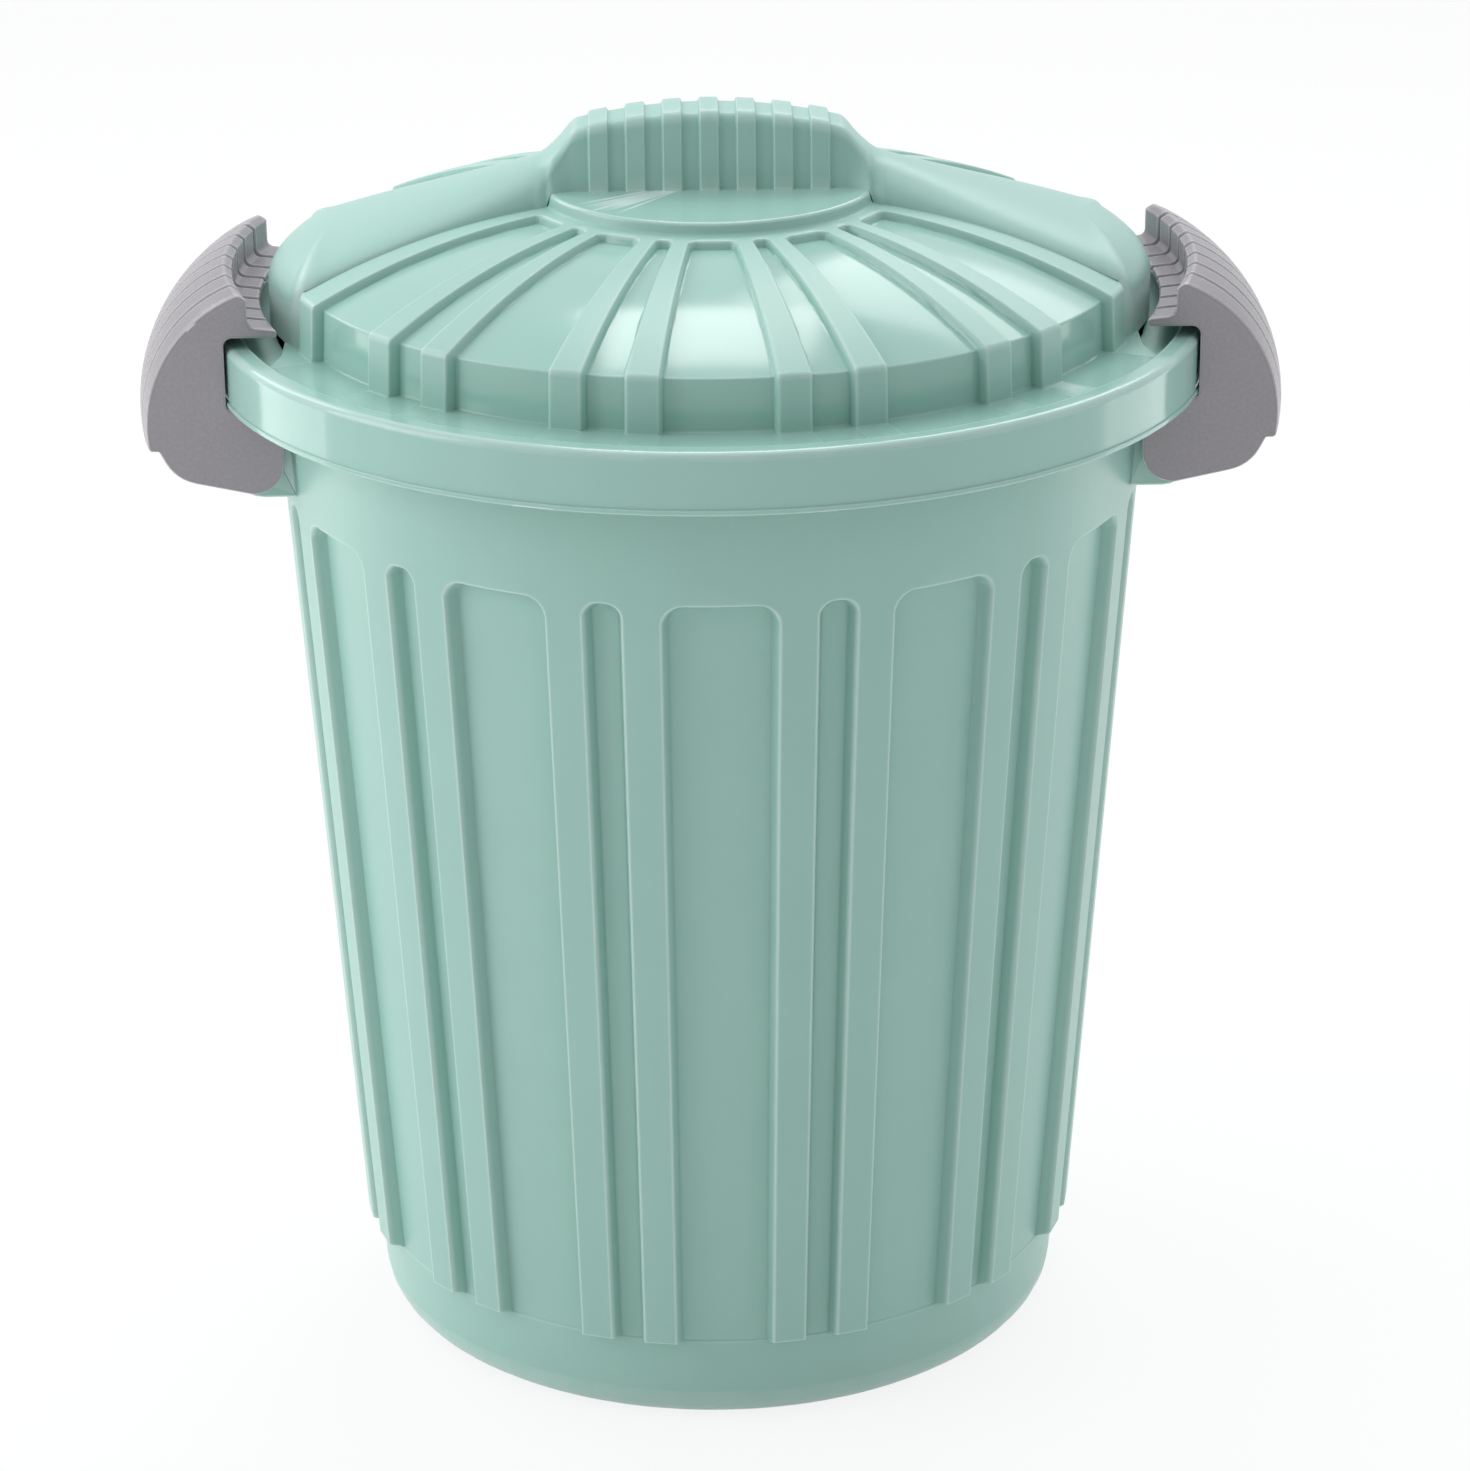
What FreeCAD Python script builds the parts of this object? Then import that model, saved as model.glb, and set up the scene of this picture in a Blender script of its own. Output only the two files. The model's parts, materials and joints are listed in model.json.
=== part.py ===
"""Round ribbed household bin with a domed lid and two clip handles that lock over the rim.

Every length is in millimetres and every angle in degrees. The bin stands on z = 0 about the Z axis,
its handles lie on the X axis and its front faces -Y. All sizes live in the sheet named Sizes, the first
block as driving values and the second as formulas, and each sketch and feature is bound to those cells.
"""
import math
import os

import FreeCAD
import Part
import Sketcher

OUT_FOLDER = "parts"

# Driving sizes of the bin
BIN_SIZES = {
    "tub_height": 434.0,
    "rim_radius": 200.0,
    "rim_height": 24.0,
    "rim_wall": 3.0,
    "rim_round": 3.0,
    "bead_out": 0.8,
    "bead_height": 1.8,
    "lip_width": 10.0,
    "seat_depth": 4.5,
    "ledge_wall": 3.5,
    "rim_overhang": 23.3,
    "wall_taper": 25.7,
    "wall": 3.0,
    "floor_wall": 3.5,
    "base_height": 39.5,
    "base_taper": 2.8,
    "base_round": 16.0,
    "panel_drop": 44.4,
    "panel_depth": 6.0,
    "panel_corner": 9.0,
    "slot_round_share": 0.8,
    "panel_count": 12,
    "wide_angle": 15.1,
    "narrow_angle": 5.2,
}

# Driving sizes of the lid
LID_SIZES = {
    "lid_gap": 0.5,
    "lid_flange": 2.5,
    "lid_wall": 3.0,
    "plug_depth": 9.5,
    "flange_width": 13.5,
    "skirt_lean": 7.0,
    "dome_edge_rise": 20.0,
    "crown_radius": 68.0,
    "crown_rise": 27.3,
    "dome_curve": 800.0,
    "lid_panel_inner": 73.0,
    "lid_panel_depth": 3.5,
    "skirt_panel_depth": 5.4,
    "moon_rise": 5.2,
    "bar_width": 34.0,
    "bar_rise": 11.0,
    "bar_overhang": 1.0,
    "bar_nose": 12.0,
    "grip_half": 54.0,
    "grip_flare": 22.0,
    "grip_end_rise": 28.0,
    "grip_arch": 6.5,
    "grip_top_width": 24.0,
    "grip_wall": 4.0,
    "band_rise": 1.8,
    "band_width": 7.7,
    "band_pitch": 14.65,
    "bands_each_side": 3,
    "notch_gap": 1.2,
}

# Driving sizes of the handles and their pins
HANDLE_SIZES = {
    "handle_width": 120.0,
    "handle_reach": 30.3,
    "handle_gap": 3.0,
    "handle_skin": 4.0,
    "handle_curve": 59.4,
    "skin_drop": 17.6,
    "face_wall": 3.0,
    "face_drop": 1.5,
    "jaw_gap": 4.5,
    "jaw_reach": 19.5,
    "jaw_tip": 3.2,
    "jaw_root": 5.0,
    "crest_inset": 5.7,
    "crest_width": 3.1,
    "crest_rise": 22.1,
    "crest_slope": 2.1,
    "rib_count": 8,
    "rib_slot": 2.0,
    "rib_depth": 2.0,
    "cheek": 5.0,
    "cheek_gap": 1.5,
    "cheek_lip": 7.0,
    "cheek_foot_inset": 11.7,
    "cheek_foot_drop": 13.9,
    "pivot_inset": 17.0,
    "pivot_drop": 22.8,
    "hinge_end": 12.9,
    "ear_wall": 6.0,
    "ear_gap": 0.5,
    "ear_nose": 8.0,
    "ear_drop": 16.0,
    "pin_radius": 3.0,
    "pin_gap": 0.05,
    "pin_cover": 2.5,
    "overrun": 12.0,
}

# Sizes worked out in the sheet
FORMULAS = {
    "rim_low": "tub_height - rim_height",
    "ledge": "tub_height - seat_depth",
    "ledge_under": "ledge - ledge_wall",
    "band_radius": "rim_radius - bead_out",
    "band_inner": "band_radius - rim_wall",
    "bead_top": "rim_low + bead_height",
    "lip_inner": "rim_radius - lip_width",
    "wall_top_radius": "rim_radius - rim_overhang",
    "rib_foot_radius": "wall_top_radius - wall_taper",
    "wall_lean": "(wall_top_radius - rib_foot_radius) / (rim_low - base_height)",
    "neck_radius": "wall_top_radius + wall_lean * (ledge_under - rim_low)",
    "mouth_radius": "neck_radius - wall",
    "mouth_top": "tub_height + overrun",
    "panel_top": "rim_low - panel_drop",
    "panel_head_radius": "wall_top_radius - wall_lean * panel_drop - panel_depth",
    "panel_foot_radius": "rib_foot_radius - panel_depth",
    "base_radius": "panel_foot_radius - base_taper",
    "slot_corner": "slot_round_share * panel_head_radius * narrow_angle * pi / 360",
    "shoulder_height": "panel_top + panel_depth",
    "shoulder_radius": "wall_top_radius - wall_lean * (panel_drop - panel_depth) - wall",
    "inner_head_radius": "panel_head_radius - wall",
    "inner_foot_radius": "panel_foot_radius - wall",
    "inner_base_radius": "base_radius - wall",
    "inner_round": "base_round - wall",
    "cut_radius": "rim_radius + overrun",
    "pitch_angle": "360 / panel_count",
    "half_pitch_angle": "pitch_angle / 2",
    "lid_wide_count": "panel_count / 2 - 1",
    "lid_wide_span": "pitch_angle * (lid_wide_count - 1)",
    "lid_narrow_count": "panel_count / 2 - 2",
    "lid_narrow_span": "pitch_angle * (lid_narrow_count - 1)",
    "lid_narrow_start": "pitch_angle + half_pitch_angle",
    "flange_top": "ledge + lid_flange",
    "flange_radius": "lip_inner - lid_gap",
    "skirt_foot_radius": "flange_radius - flange_width",
    "dome_edge_radius": "skirt_foot_radius - skirt_lean",
    "plug_low": "ledge - plug_depth",
    "plug_radius": "skirt_foot_radius - skirt_panel_depth",
    "plug_inner": "plug_radius - lid_wall",
    "dome_edge": "flange_top + dome_edge_rise",
    "crown": "dome_edge + crown_rise",
    "dome_lean": "crown_rise / (dome_edge_radius - crown_radius)",
    "floor_inner": "crown - lid_panel_depth - dome_lean * (lid_panel_inner - crown_radius)",
    "floor_outer_radius": "dome_edge_radius - skirt_panel_depth",
    "floor_outer": "dome_edge + dome_lean * skirt_panel_depth - lid_panel_depth",
    "lid_top": "crown + overrun",
    "under_radius": "lid_panel_inner - lid_wall",
    "under_crown": "floor_inner - lid_wall",
    "under_edge_radius": "floor_outer_radius - lid_wall",
    "under_edge": "floor_outer - lid_wall",
    "moon_top": "crown + moon_rise",
    "bar_half": "bar_width / 2",
    "bar_inner_top": "crown + bar_rise - dome_lean * (grip_foot - crown_radius)",
    "bar_end": "skirt_foot_radius + bar_overhang",
    "bar_shoulder": "bar_end - bar_nose",
    "bar_shoulder_top": "dome_edge + bar_rise",
    "bar_nose_top": "bar_shoulder_top - bar_nose",
    "grip_foot": "grip_half + grip_flare",
    "grip_end_top": "crown + grip_end_rise",
    "grip_top": "grip_end_top + grip_arch",
    "grip_curve": "(grip_half ^ 2 + grip_arch ^ 2) / (2 * grip_arch)",
    "grip_top_half": "grip_top_width / 2",
    "grip_ceiling": "grip_end_top - grip_wall",
    "grip_hollow_half": "grip_half - 2 * grip_wall",
    "bar_ceiling": "bar_inner_top - grip_wall",
    "bar_hollow_end": "bar_shoulder - grip_foot + crown_radius",
    "bar_hollow_top": "bar_ceiling - dome_lean * (bar_hollow_end - grip_foot)",
    "bar_hollow_width": "grip_top_width - 2 * grip_wall",
    "side_cut": "bar_half + overrun",
    "grip_lean": "(bar_half - grip_top_half) / (grip_top - bar_inner_top)",
    "grip_cut_top": "grip_top + overrun",
    "grip_cut_half": "grip_top_half - grip_lean * overrun",
    "band_foot_half": "bar_half + band_rise",
    "notch_radius": "jaw_tip_radius - notch_gap",
    "notch_angle": "2 * asin((handle_half + notch_gap) / notch_radius)",
    "notch_low": "ledge - overrun",
    "handle_half": "handle_width / 2",
    "handle_angle": "3 * asin(handle_half / notch_radius)",
    "face_radius": "rim_radius + handle_gap",
    "face_low": "rim_low + face_drop",
    "face_back": "face_radius + face_wall",
    "skin_radius": "rim_radius + handle_reach",
    "skin_inner": "skin_radius - handle_skin",
    "skin_low": "rim_low - skin_drop",
    "skin_cut": "skin_low - overrun",
    "skin_curve": "handle_curve - handle_skin",
    "jaw_under": "tub_height + jaw_gap",
    "jaw_tip_radius": "rim_radius - jaw_reach",
    "jaw_tip_top": "jaw_under + jaw_tip",
    "jaw_root_top": "jaw_under + jaw_root",
    "crest_radius": "rim_radius - crest_inset",
    "crest_inner": "crest_radius - crest_width",
    "crest": "tub_height + crest_rise",
    "crest_inner_top": "crest - crest_slope",
    "core_top": "jaw_under - face_wall",
    "core_top_radius": "face_back + 2 * handle_skin",
    "core_inner": "jaw_tip_radius - overrun",
    "core_half": "handle_half - cheek",
    "slot_pitch": "handle_width / rib_count",
    "rind_radius": "skin_radius - rib_depth",
    "rind_curve": "handle_curve - rib_depth",
    "rind_crest": "crest - rib_depth",
    "rind_crest_inner": "crest_inner_top - rib_depth",
    "rind_inner": "crest_inner + rib_depth",
    "rind_jaw_root": "jaw_root_top - rib_depth / 2",
    "rind_jaw_tip": "jaw_tip_top - rib_depth / 2",
    "rind_out": "skin_radius + overrun",
    "rind_top": "crest + overrun",
    "pivot": "rim_radius - pivot_inset",
    "pivot_height": "rim_low - pivot_drop",
    "cheek_in": "pivot - hinge_end",
    "cheek_top": "rim_low - cheek_gap",
    "cheek_shoulder": "pivot_height + hinge_end + cheek_lip / 2",
    "cheek_shoulder_in": "pivot - cheek_lip",
    "cheek_out": "sqrt(skin_radius ^ 2 - handle_half ^ 2) - handle_skin",
    "cheek_foot_out": "cheek_out - cheek_lip",
    "cheek_foot": "skin_low - cheek_foot_inset",
    "cheek_heel": "skin_low - cheek_gap",
    "cheek_bottom_out": "cheek_foot_out - cheek_lip",
    "cheek_bottom": "skin_low - cheek_foot_drop",
    "hinge_low": "pivot_height - hinge_end",
    "ear_half": "core_half - ear_gap",
    "ear_inner": "ear_half - ear_wall",
    "ear_low": "pivot_height - ear_drop",
    "ear_out": "pivot + ear_nose",
    "ear_root": "inner_head_radius - panel_depth",
    "ear_span": "2 * ear_half + overrun",
    "bore_radius": "pin_radius + pin_gap",
    "pin_half": "handle_half - pin_cover - pin_gap",
    "pin_length": "2 * pin_half",
    "blind_length": "2 * (handle_half - pin_cover)",
}

# Height and half width of each grip band, which steps down along the arch of the grip
for number in range(LID_SIZES["bands_each_side"] + 1):
    FORMULAS["band_place_%d" % number] = "band_pitch * %d" % number
    arch_drop = "grip_arch * (band_place_%d / grip_half) ^ 2" % number
    FORMULAS["band_top_%d" % number] = "grip_top + band_rise - " + arch_drop
    FORMULAS["band_half_%d" % number] = "band_foot_half - grip_lean * (band_top_%d - bar_inner_top)" % number

# Edges of the solid ribs between the slots of a handle, from its middle outwards
for number in range(HANDLE_SIZES["rib_count"] // 2):
    FORMULAS["rib_start_%d" % number] = "slot_pitch * %d + rib_slot / 2" % number
    FORMULAS["rib_end_%d" % number] = "slot_pitch * %d - rib_slot / 2" % (number + 1)

PAIR = 2
HALF_TURN = 180.0
FULL_TURN = 360.0
EDGE_TOLERANCE = 0.01


def fill_sheet(document):
    """Write every driving size and every formula to the sheet, each under its own alias."""
    table = document.addObject("Spreadsheet::Sheet", "Sizes")
    row = 1
    for block in (BIN_SIZES, LID_SIZES, HANDLE_SIZES):
        for name, value in block.items():
            table.set("A%d" % row, name)
            table.set("B%d" % row, str(value))
            table.setAlias("B%d" % row, name)
            row += 1
    for name in FORMULAS:
        table.set("A%d" % row, name)
        table.setAlias("B%d" % row, name)
        row += 1
    row -= len(FORMULAS)
    for formula in FORMULAS.values():
        table.set("B%d" % row, "=" + formula)
        row += 1
    document.recompute()
    return table


document = FreeCAD.newDocument("bin")
sheet = fill_sheet(document)


def size(name):
    """Value of a signed cell name, where the name 0 stands for the axis itself."""
    if name == "0":
        return 0.0
    if name.startswith("-"):
        return -float(sheet.get(name[1:]))
    return float(sheet.get(name))


def bind(item, field, name):
    """Bind a property, or one constraint of a sketch, to a cell of the sheet."""
    item.setExpression(field, "Sizes." + name.lstrip("-"))


def origin_part(body, role):
    """Axis or plane of a body's own origin."""
    for feature in body.Origin.OriginFeatures:
        if feature.Role == role:
            return feature
    raise ValueError(role)


def arc_middle(start, end, radius):
    """Point halfway along an arc, to the left of the way from start to end for a positive radius."""
    chord = end - start
    middle = (start + end) / 2
    depth = abs(radius) - math.sqrt(radius ** 2 - (chord.Length / 2) ** 2)
    left = FreeCAD.Vector(-chord.y, chord.x, 0).normalize()
    return middle + left * math.copysign(depth, radius)


def place_corner(sketch, side, end, direction, name):
    """Tie one coordinate of a corner to a cell, or to the axis where the name is 0."""
    if name == "0":
        axis = -2 if direction == "DistanceX" else -1
        sketch.addConstraint(Sketcher.Constraint("PointOnObject", side, end, axis))
        return
    if name.startswith("-"):
        constraint = Sketcher.Constraint(direction, side, end, -1, 1, abs(size(name)))
    else:
        constraint = Sketcher.Constraint(direction, -1, 1, side, end, size(name))
    index = sketch.addConstraint(constraint)
    bind(sketch, "Constraints[%d]" % index, name)


def new_sketch(body, name, plane):
    """Empty sketch on a plane of the body's own origin."""
    sketch = body.newObject("Sketcher::SketchObject", name)
    sketch.AttachmentSupport = (origin_part(body, plane), [""])
    sketch.MapMode = "FlatFace"
    return sketch


def opposite(name):
    """Cell name with the other sign."""
    return name[1:] if name.startswith("-") else "-" + name


def add_outline(sketch, corners, curves=None, mirrored=False):
    """Add a closed outline through corners given as cell names; curves holds radius cells by side number."""
    curves = curves or {}
    if mirrored:
        corners = [(opposite(across), up) for across, up in corners]
        curves = {number: opposite(radius) for number, radius in curves.items()}
    base = sketch.GeometryCount
    points = [FreeCAD.Vector(size(across), size(up), 0) for across, up in corners]
    count = len(points)
    ends = []
    for number, start in enumerate(points):
        end = points[(number + 1) % count]
        if number in curves:
            middle = arc_middle(start, end, size(curves[number]))
            sketch.addGeometry(Part.Arc(start, middle, end))
            turns_left = (middle - start).cross(end - middle).z > 0
            ends.append((1, 2) if turns_left else (2, 1))
        else:
            sketch.addGeometry(Part.LineSegment(start, end))
            ends.append((1, 2))
    for number in range(count):
        after = (number + 1) % count
        pair = (base + number, ends[number][1], base + after, ends[after][0])
        sketch.addConstraint(Sketcher.Constraint("Coincident", *pair))
    for number, (across, up) in enumerate(corners):
        place_corner(sketch, base + number, ends[number][0], "DistanceX", across)
        place_corner(sketch, base + number, ends[number][0], "DistanceY", up)
    for number, radius in curves.items():
        index = sketch.addConstraint(Sketcher.Constraint("Radius", base + number, abs(size(radius))))
        bind(sketch, "Constraints[%d]" % index, radius)


def outline(body, name, plane, corners, curves=None, mirrored=False):
    """Sketch with one closed outline."""
    sketch = new_sketch(body, name, plane)
    add_outline(sketch, corners, curves, mirrored)
    return sketch


def disc(body, name, plane, across, up, radius):
    """Sketch with one circle."""
    sketch = new_sketch(body, name, plane)
    centre = FreeCAD.Vector(size(across), size(up), 0)
    sketch.addGeometry(Part.Circle(centre, FreeCAD.Vector(0, 0, 1), size(radius)))
    place_corner(sketch, 0, 3, "DistanceX", across)
    place_corner(sketch, 0, 3, "DistanceY", up)
    index = sketch.addConstraint(Sketcher.Constraint("Radius", 0, size(radius)))
    bind(sketch, "Constraints[%d]" % index, radius)
    return sketch


def turn_sketch(sketch, angle):
    """Turn an upright sketch about the Z axis."""
    turn = FreeCAD.Rotation(FreeCAD.Vector(0, 1, 0), angle)
    sketch.AttachmentOffset = FreeCAD.Placement(FreeCAD.Vector(), turn)


def revolve(body, kind, name, sketch, angle=None):
    """Revolution or groove about the Z axis, full, or to both sides of the sketch by an angle cell."""
    feature = body.newObject("PartDesign::" + kind, name)
    feature.Profile = sketch
    feature.ReferenceAxis = (sketch, ["V_Axis"])
    feature.Angle = FULL_TURN
    if angle:
        feature.Midplane = True
        bind(feature, "Angle", angle)
    document.recompute()
    return feature


def extrude(body, kind, name, sketch, length=None, both_ways=True):
    """Pad or pocket by a length cell, or a pocket through everything where there is none."""
    feature = body.newObject("PartDesign::" + kind, name)
    feature.Profile = sketch
    if both_ways:
        feature.SideType = "Symmetric"
    if length:
        bind(feature, "Length", length)
    else:
        feature.Type = "ThroughAll"
    document.recompute()
    return feature


def repeat(body, name, originals, count, span):
    """Polar pattern about the Z axis."""
    pattern = body.newObject("PartDesign::PolarPattern", name)
    pattern.Originals = originals
    pattern.Axis = (origin_part(body, "Z_Axis"), [""])
    pattern.Angle = span
    pattern.Occurrences = count
    body.Tip = pattern
    document.recompute()
    return pattern


def ring_edges(shape, radius, height):
    """Names of the round edges about the Z axis at this radius and height."""
    found = []
    for number, edge in enumerate(shape.Edges, 1):
        curve = edge.Curve
        if not isinstance(curve, Part.Circle):
            continue
        if math.isclose(curve.Radius, radius, abs_tol=EDGE_TOLERANCE):
            if math.isclose(curve.Center.z, height, abs_tol=EDGE_TOLERANCE):
                found.append("Edge%d" % number)
    return found


def fillet(body, name, base, edges, radius):
    """Round the named edges by a radius cell."""
    feature = body.newObject("PartDesign::Fillet", name)
    feature.Base = (base, edges)
    bind(feature, "Radius", radius)
    document.recompute()
    return feature


def new_body(name):
    return document.addObject("PartDesign::Body", name)


def corner_edges(shape, height, offset):
    """Names of the short radial edges at this height whose angle from a panel's middle is the offset."""
    found = []
    pitch = size("pitch_angle")
    for number, edge in enumerate(shape.Edges, 1):
        ends = [vertex.Point for vertex in edge.Vertexes]
        if len(ends) != 2:
            continue
        if any(not math.isclose(end.z, height, abs_tol=EDGE_TOLERANCE) for end in ends):
            continue
        first, second = [math.degrees(math.atan2(end.y, end.x)) for end in ends]
        from_middle = min(first % pitch, -first % pitch)
        if not math.isclose(first, second, abs_tol=EDGE_TOLERANCE):
            continue
        if math.isclose(from_middle, offset, abs_tol=EDGE_TOLERANCE):
            found.append("Edge%d" % number)
    return found


def build_bin():
    """Tub with a rolled rim, a ribbed wall and two pairs of hinge ears."""
    body = new_body("bin")
    shell = outline(body, "tub_profile", "XZ_Plane", [
        ("0", "0"),
        ("base_radius", "0"),
        ("panel_foot_radius", "base_height"),
        ("rib_foot_radius", "base_height"),
        ("neck_radius", "ledge_under"),
        ("band_inner", "ledge_under"),
        ("band_inner", "rim_low"),
        ("rim_radius", "rim_low"),
        ("rim_radius", "bead_top"),
        ("band_radius", "bead_top"),
        ("band_radius", "tub_height"),
        ("lip_inner", "tub_height"),
        ("lip_inner", "ledge"),
        ("0", "ledge"),
    ])
    revolve(body, "Revolution", "tub", shell)

    ears = []
    for number, start in enumerate(("ear_inner", "-ear_half")):
        ear = outline(body, "ear_profile_%d" % number, "XZ_Plane", [
            ("ear_root", "ear_low"),
            ("ear_out", "ear_low"),
            ("ear_out", "ledge_under"),
            ("ear_root", "ledge_under"),
        ])
        ear.setExpression("AttachmentOffset.Base.z", start.replace("ear", "Sizes.ear"))
        ears.append(extrude(body, "Pad", "ear_%d" % number, ear, "ear_wall", both_ways=False))
    bore = disc(body, "ear_bore_profile", "XZ_Plane", "pivot", "pivot_height", "bore_radius")
    ears.append(extrude(body, "Pocket", "ear_bore", bore, "ear_span"))
    repeat(body, "ear_pair", ears, PAIR, FULL_TURN)

    hollow = outline(body, "hollow_profile", "XZ_Plane", [
        ("0", "floor_wall"),
        ("inner_base_radius", "floor_wall"),
        ("inner_foot_radius", "base_height"),
        ("inner_head_radius", "panel_top"),
        ("shoulder_radius", "shoulder_height"),
        ("mouth_radius", "ledge_under"),
        ("mouth_radius", "mouth_top"),
        ("0", "mouth_top"),
    ])
    revolve(body, "Groove", "hollow", hollow)

    for name, angle, start in (("wide", "wide_angle", "0"), ("narrow", "narrow_angle", "half_pitch_angle")):
        panel = outline(body, name + "_profile", "XZ_Plane", [
            ("panel_foot_radius", "base_height"),
            ("cut_radius", "base_height"),
            ("cut_radius", "panel_top"),
            ("panel_head_radius", "panel_top"),
        ])
        turn_sketch(panel, size(start))
        groove = revolve(body, "Groove", name + "_panel", panel, angle)
        last = repeat(body, name + "_panels", [groove], int(size("panel_count")), FULL_TURN)

    edges = ring_edges(last.Shape, size("base_radius"), 0.0)
    last = fillet(body, "base_edge", last, edges, "base_round")
    edges = ring_edges(last.Shape, size("inner_base_radius"), size("floor_wall"))
    last = fillet(body, "floor_edge", last, edges, "inner_round")
    edges = ring_edges(last.Shape, size("band_radius"), size("tub_height"))
    last = fillet(body, "lip_edge", last, edges, "rim_round")
    edges = corner_edges(last.Shape, size("panel_top"), size("wide_angle") / 2)
    last = fillet(body, "wide_corners", last, edges, "panel_corner")
    edges = corner_edges(last.Shape, size("panel_top"), size("half_pitch_angle") - size("narrow_angle") / 2)
    fillet(body, "narrow_corners", last, edges, "slot_corner")
    return body


def add_band(body, number):
    """One raised band across the grip, counted from its middle."""
    step = abs(number)
    name = "band_%d" % (number + LID_SIZES["bands_each_side"])
    band = outline(body, name + "_profile", "YZ_Plane", [
        ("-band_foot_half", "crown"),
        ("band_foot_half", "crown"),
        ("band_foot_half", "bar_inner_top"),
        ("band_half_%d" % step, "band_top_%d" % step),
        ("-band_half_%d" % step, "band_top_%d" % step),
        ("-band_foot_half", "bar_inner_top"),
    ])
    sign = "-" if number < 0 else ""
    band.setExpression("AttachmentOffset.Base.z", "%sSizes.band_place_%d" % (sign, step))
    extrude(body, "Pad", name, band, "band_width")


def build_lid():
    """Domed lid with sunk panels, a cross bar and a banded grip."""
    body = new_body("lid")
    shell = outline(body, "lid_profile", "XZ_Plane", [
        ("0", "plug_low"),
        ("plug_radius", "plug_low"),
        ("plug_radius", "ledge"),
        ("flange_radius", "ledge"),
        ("flange_radius", "flange_top"),
        ("skirt_foot_radius", "flange_top"),
        ("dome_edge_radius", "dome_edge"),
        ("crown_radius", "crown"),
        ("crown_radius", "moon_top"),
        ("0", "moon_top"),
    ], {6: "-dome_curve"})
    revolve(body, "Revolution", "dome", shell)

    for name, angle, start, count, span in (
        ("wide", "wide_angle", "pitch_angle", "lid_wide_count", "lid_wide_span"),
        ("narrow", "narrow_angle", "lid_narrow_start", "lid_narrow_count", "lid_narrow_span"),
    ):
        for side, turn in (("back", 0.0), ("front", HALF_TURN)):
            panel = outline(body, "%s_%s_profile" % (name, side), "XZ_Plane", [
                ("lid_panel_inner", "floor_inner"),
                ("floor_outer_radius", "floor_outer"),
                ("plug_radius", "flange_top"),
                ("flange_radius", "flange_top"),
                ("flange_radius", "lid_top"),
                ("lid_panel_inner", "lid_top"),
            ], {0: "dome_curve"})
            turn_sketch(panel, size(start) + turn)
            groove = revolve(body, "Groove", "%s_%s_panel" % (name, side), panel, angle)
            repeat(body, "%s_%s_panels" % (name, side), [groove], int(size(count)), size(span))

    bar = outline(body, "bar_profile", "XZ_Plane", [
        ("-bar_end", "flange_top"),
        ("bar_end", "flange_top"),
        ("bar_end", "bar_nose_top"),
        ("bar_shoulder", "bar_shoulder_top"),
        ("grip_foot", "bar_inner_top"),
        ("grip_half", "grip_end_top"),
        ("-grip_half", "grip_end_top"),
        ("-grip_foot", "bar_inner_top"),
        ("-bar_shoulder", "bar_shoulder_top"),
        ("-bar_end", "bar_nose_top"),
    ], {2: "-bar_nose", 4: "grip_flare", 5: "-grip_curve", 6: "grip_flare", 8: "-bar_nose"})
    extrude(body, "Pad", "bar", bar, "bar_width")

    sides = new_sketch(body, "grip_side_profile", "YZ_Plane")
    for sign in ("", "-"):
        add_outline(sides, [
            (sign + "bar_half", "bar_inner_top"),
            (sign + "side_cut", "bar_inner_top"),
            (sign + "side_cut", "grip_cut_top"),
            (sign + "grip_cut_half", "grip_cut_top"),
        ])
    extrude(body, "Pocket", "grip_sides", sides)

    each_side = LID_SIZES["bands_each_side"]
    for number in range(-each_side, each_side + 1):
        add_band(body, number)

    hollow = outline(body, "under_profile", "XZ_Plane", [
        ("0", "notch_low"),
        ("plug_inner", "notch_low"),
        ("plug_inner", "ledge"),
        ("under_edge_radius", "under_edge"),
        ("under_radius", "under_crown"),
        ("0", "under_crown"),
    ], {3: "-dome_curve"})
    revolve(body, "Groove", "under", hollow)
    core = outline(body, "grip_hollow_profile", "XZ_Plane", [
        ("-bar_hollow_end", "under_edge"),
        ("bar_hollow_end", "under_edge"),
        ("bar_hollow_end", "bar_hollow_top"),
        ("grip_foot", "bar_ceiling"),
        ("grip_half", "bar_ceiling"),
        ("grip_hollow_half", "grip_ceiling"),
        ("-grip_hollow_half", "grip_ceiling"),
        ("-grip_half", "bar_ceiling"),
        ("-grip_foot", "bar_ceiling"),
        ("-bar_hollow_end", "bar_hollow_top"),
    ])
    extrude(body, "Pocket", "grip_hollow", core, "bar_hollow_width")

    notch = outline(body, "notch_profile", "XZ_Plane", [
        ("notch_radius", "notch_low"),
        ("cut_radius", "notch_low"),
        ("cut_radius", "lid_top"),
        ("notch_radius", "lid_top"),
    ])
    cut = revolve(body, "Groove", "notch", notch, "notch_angle")
    repeat(body, "notches", [cut], PAIR, FULL_TURN)
    return body


def trim_ends(body, name, half):
    """Cut a revolved body off flat at both ends of its width."""
    ends = new_sketch(body, name + "_profile", "XY_Plane")
    for sign in ("", "-"):
        add_outline(ends, [
            ("-rind_out", sign + half),
            ("rind_out", sign + half),
            ("rind_out", sign + "rind_out"),
            ("-rind_out", sign + "rind_out"),
        ])
    return extrude(body, "Pocket", name, ends)


def cut_with(body, name, tool):
    """Cut one body with another."""
    boolean = body.newObject("PartDesign::Boolean", name)
    boolean.Type = "Cut"
    boolean.addObjects([tool])
    body.Tip = boolean
    document.recompute()
    return boolean


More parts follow.
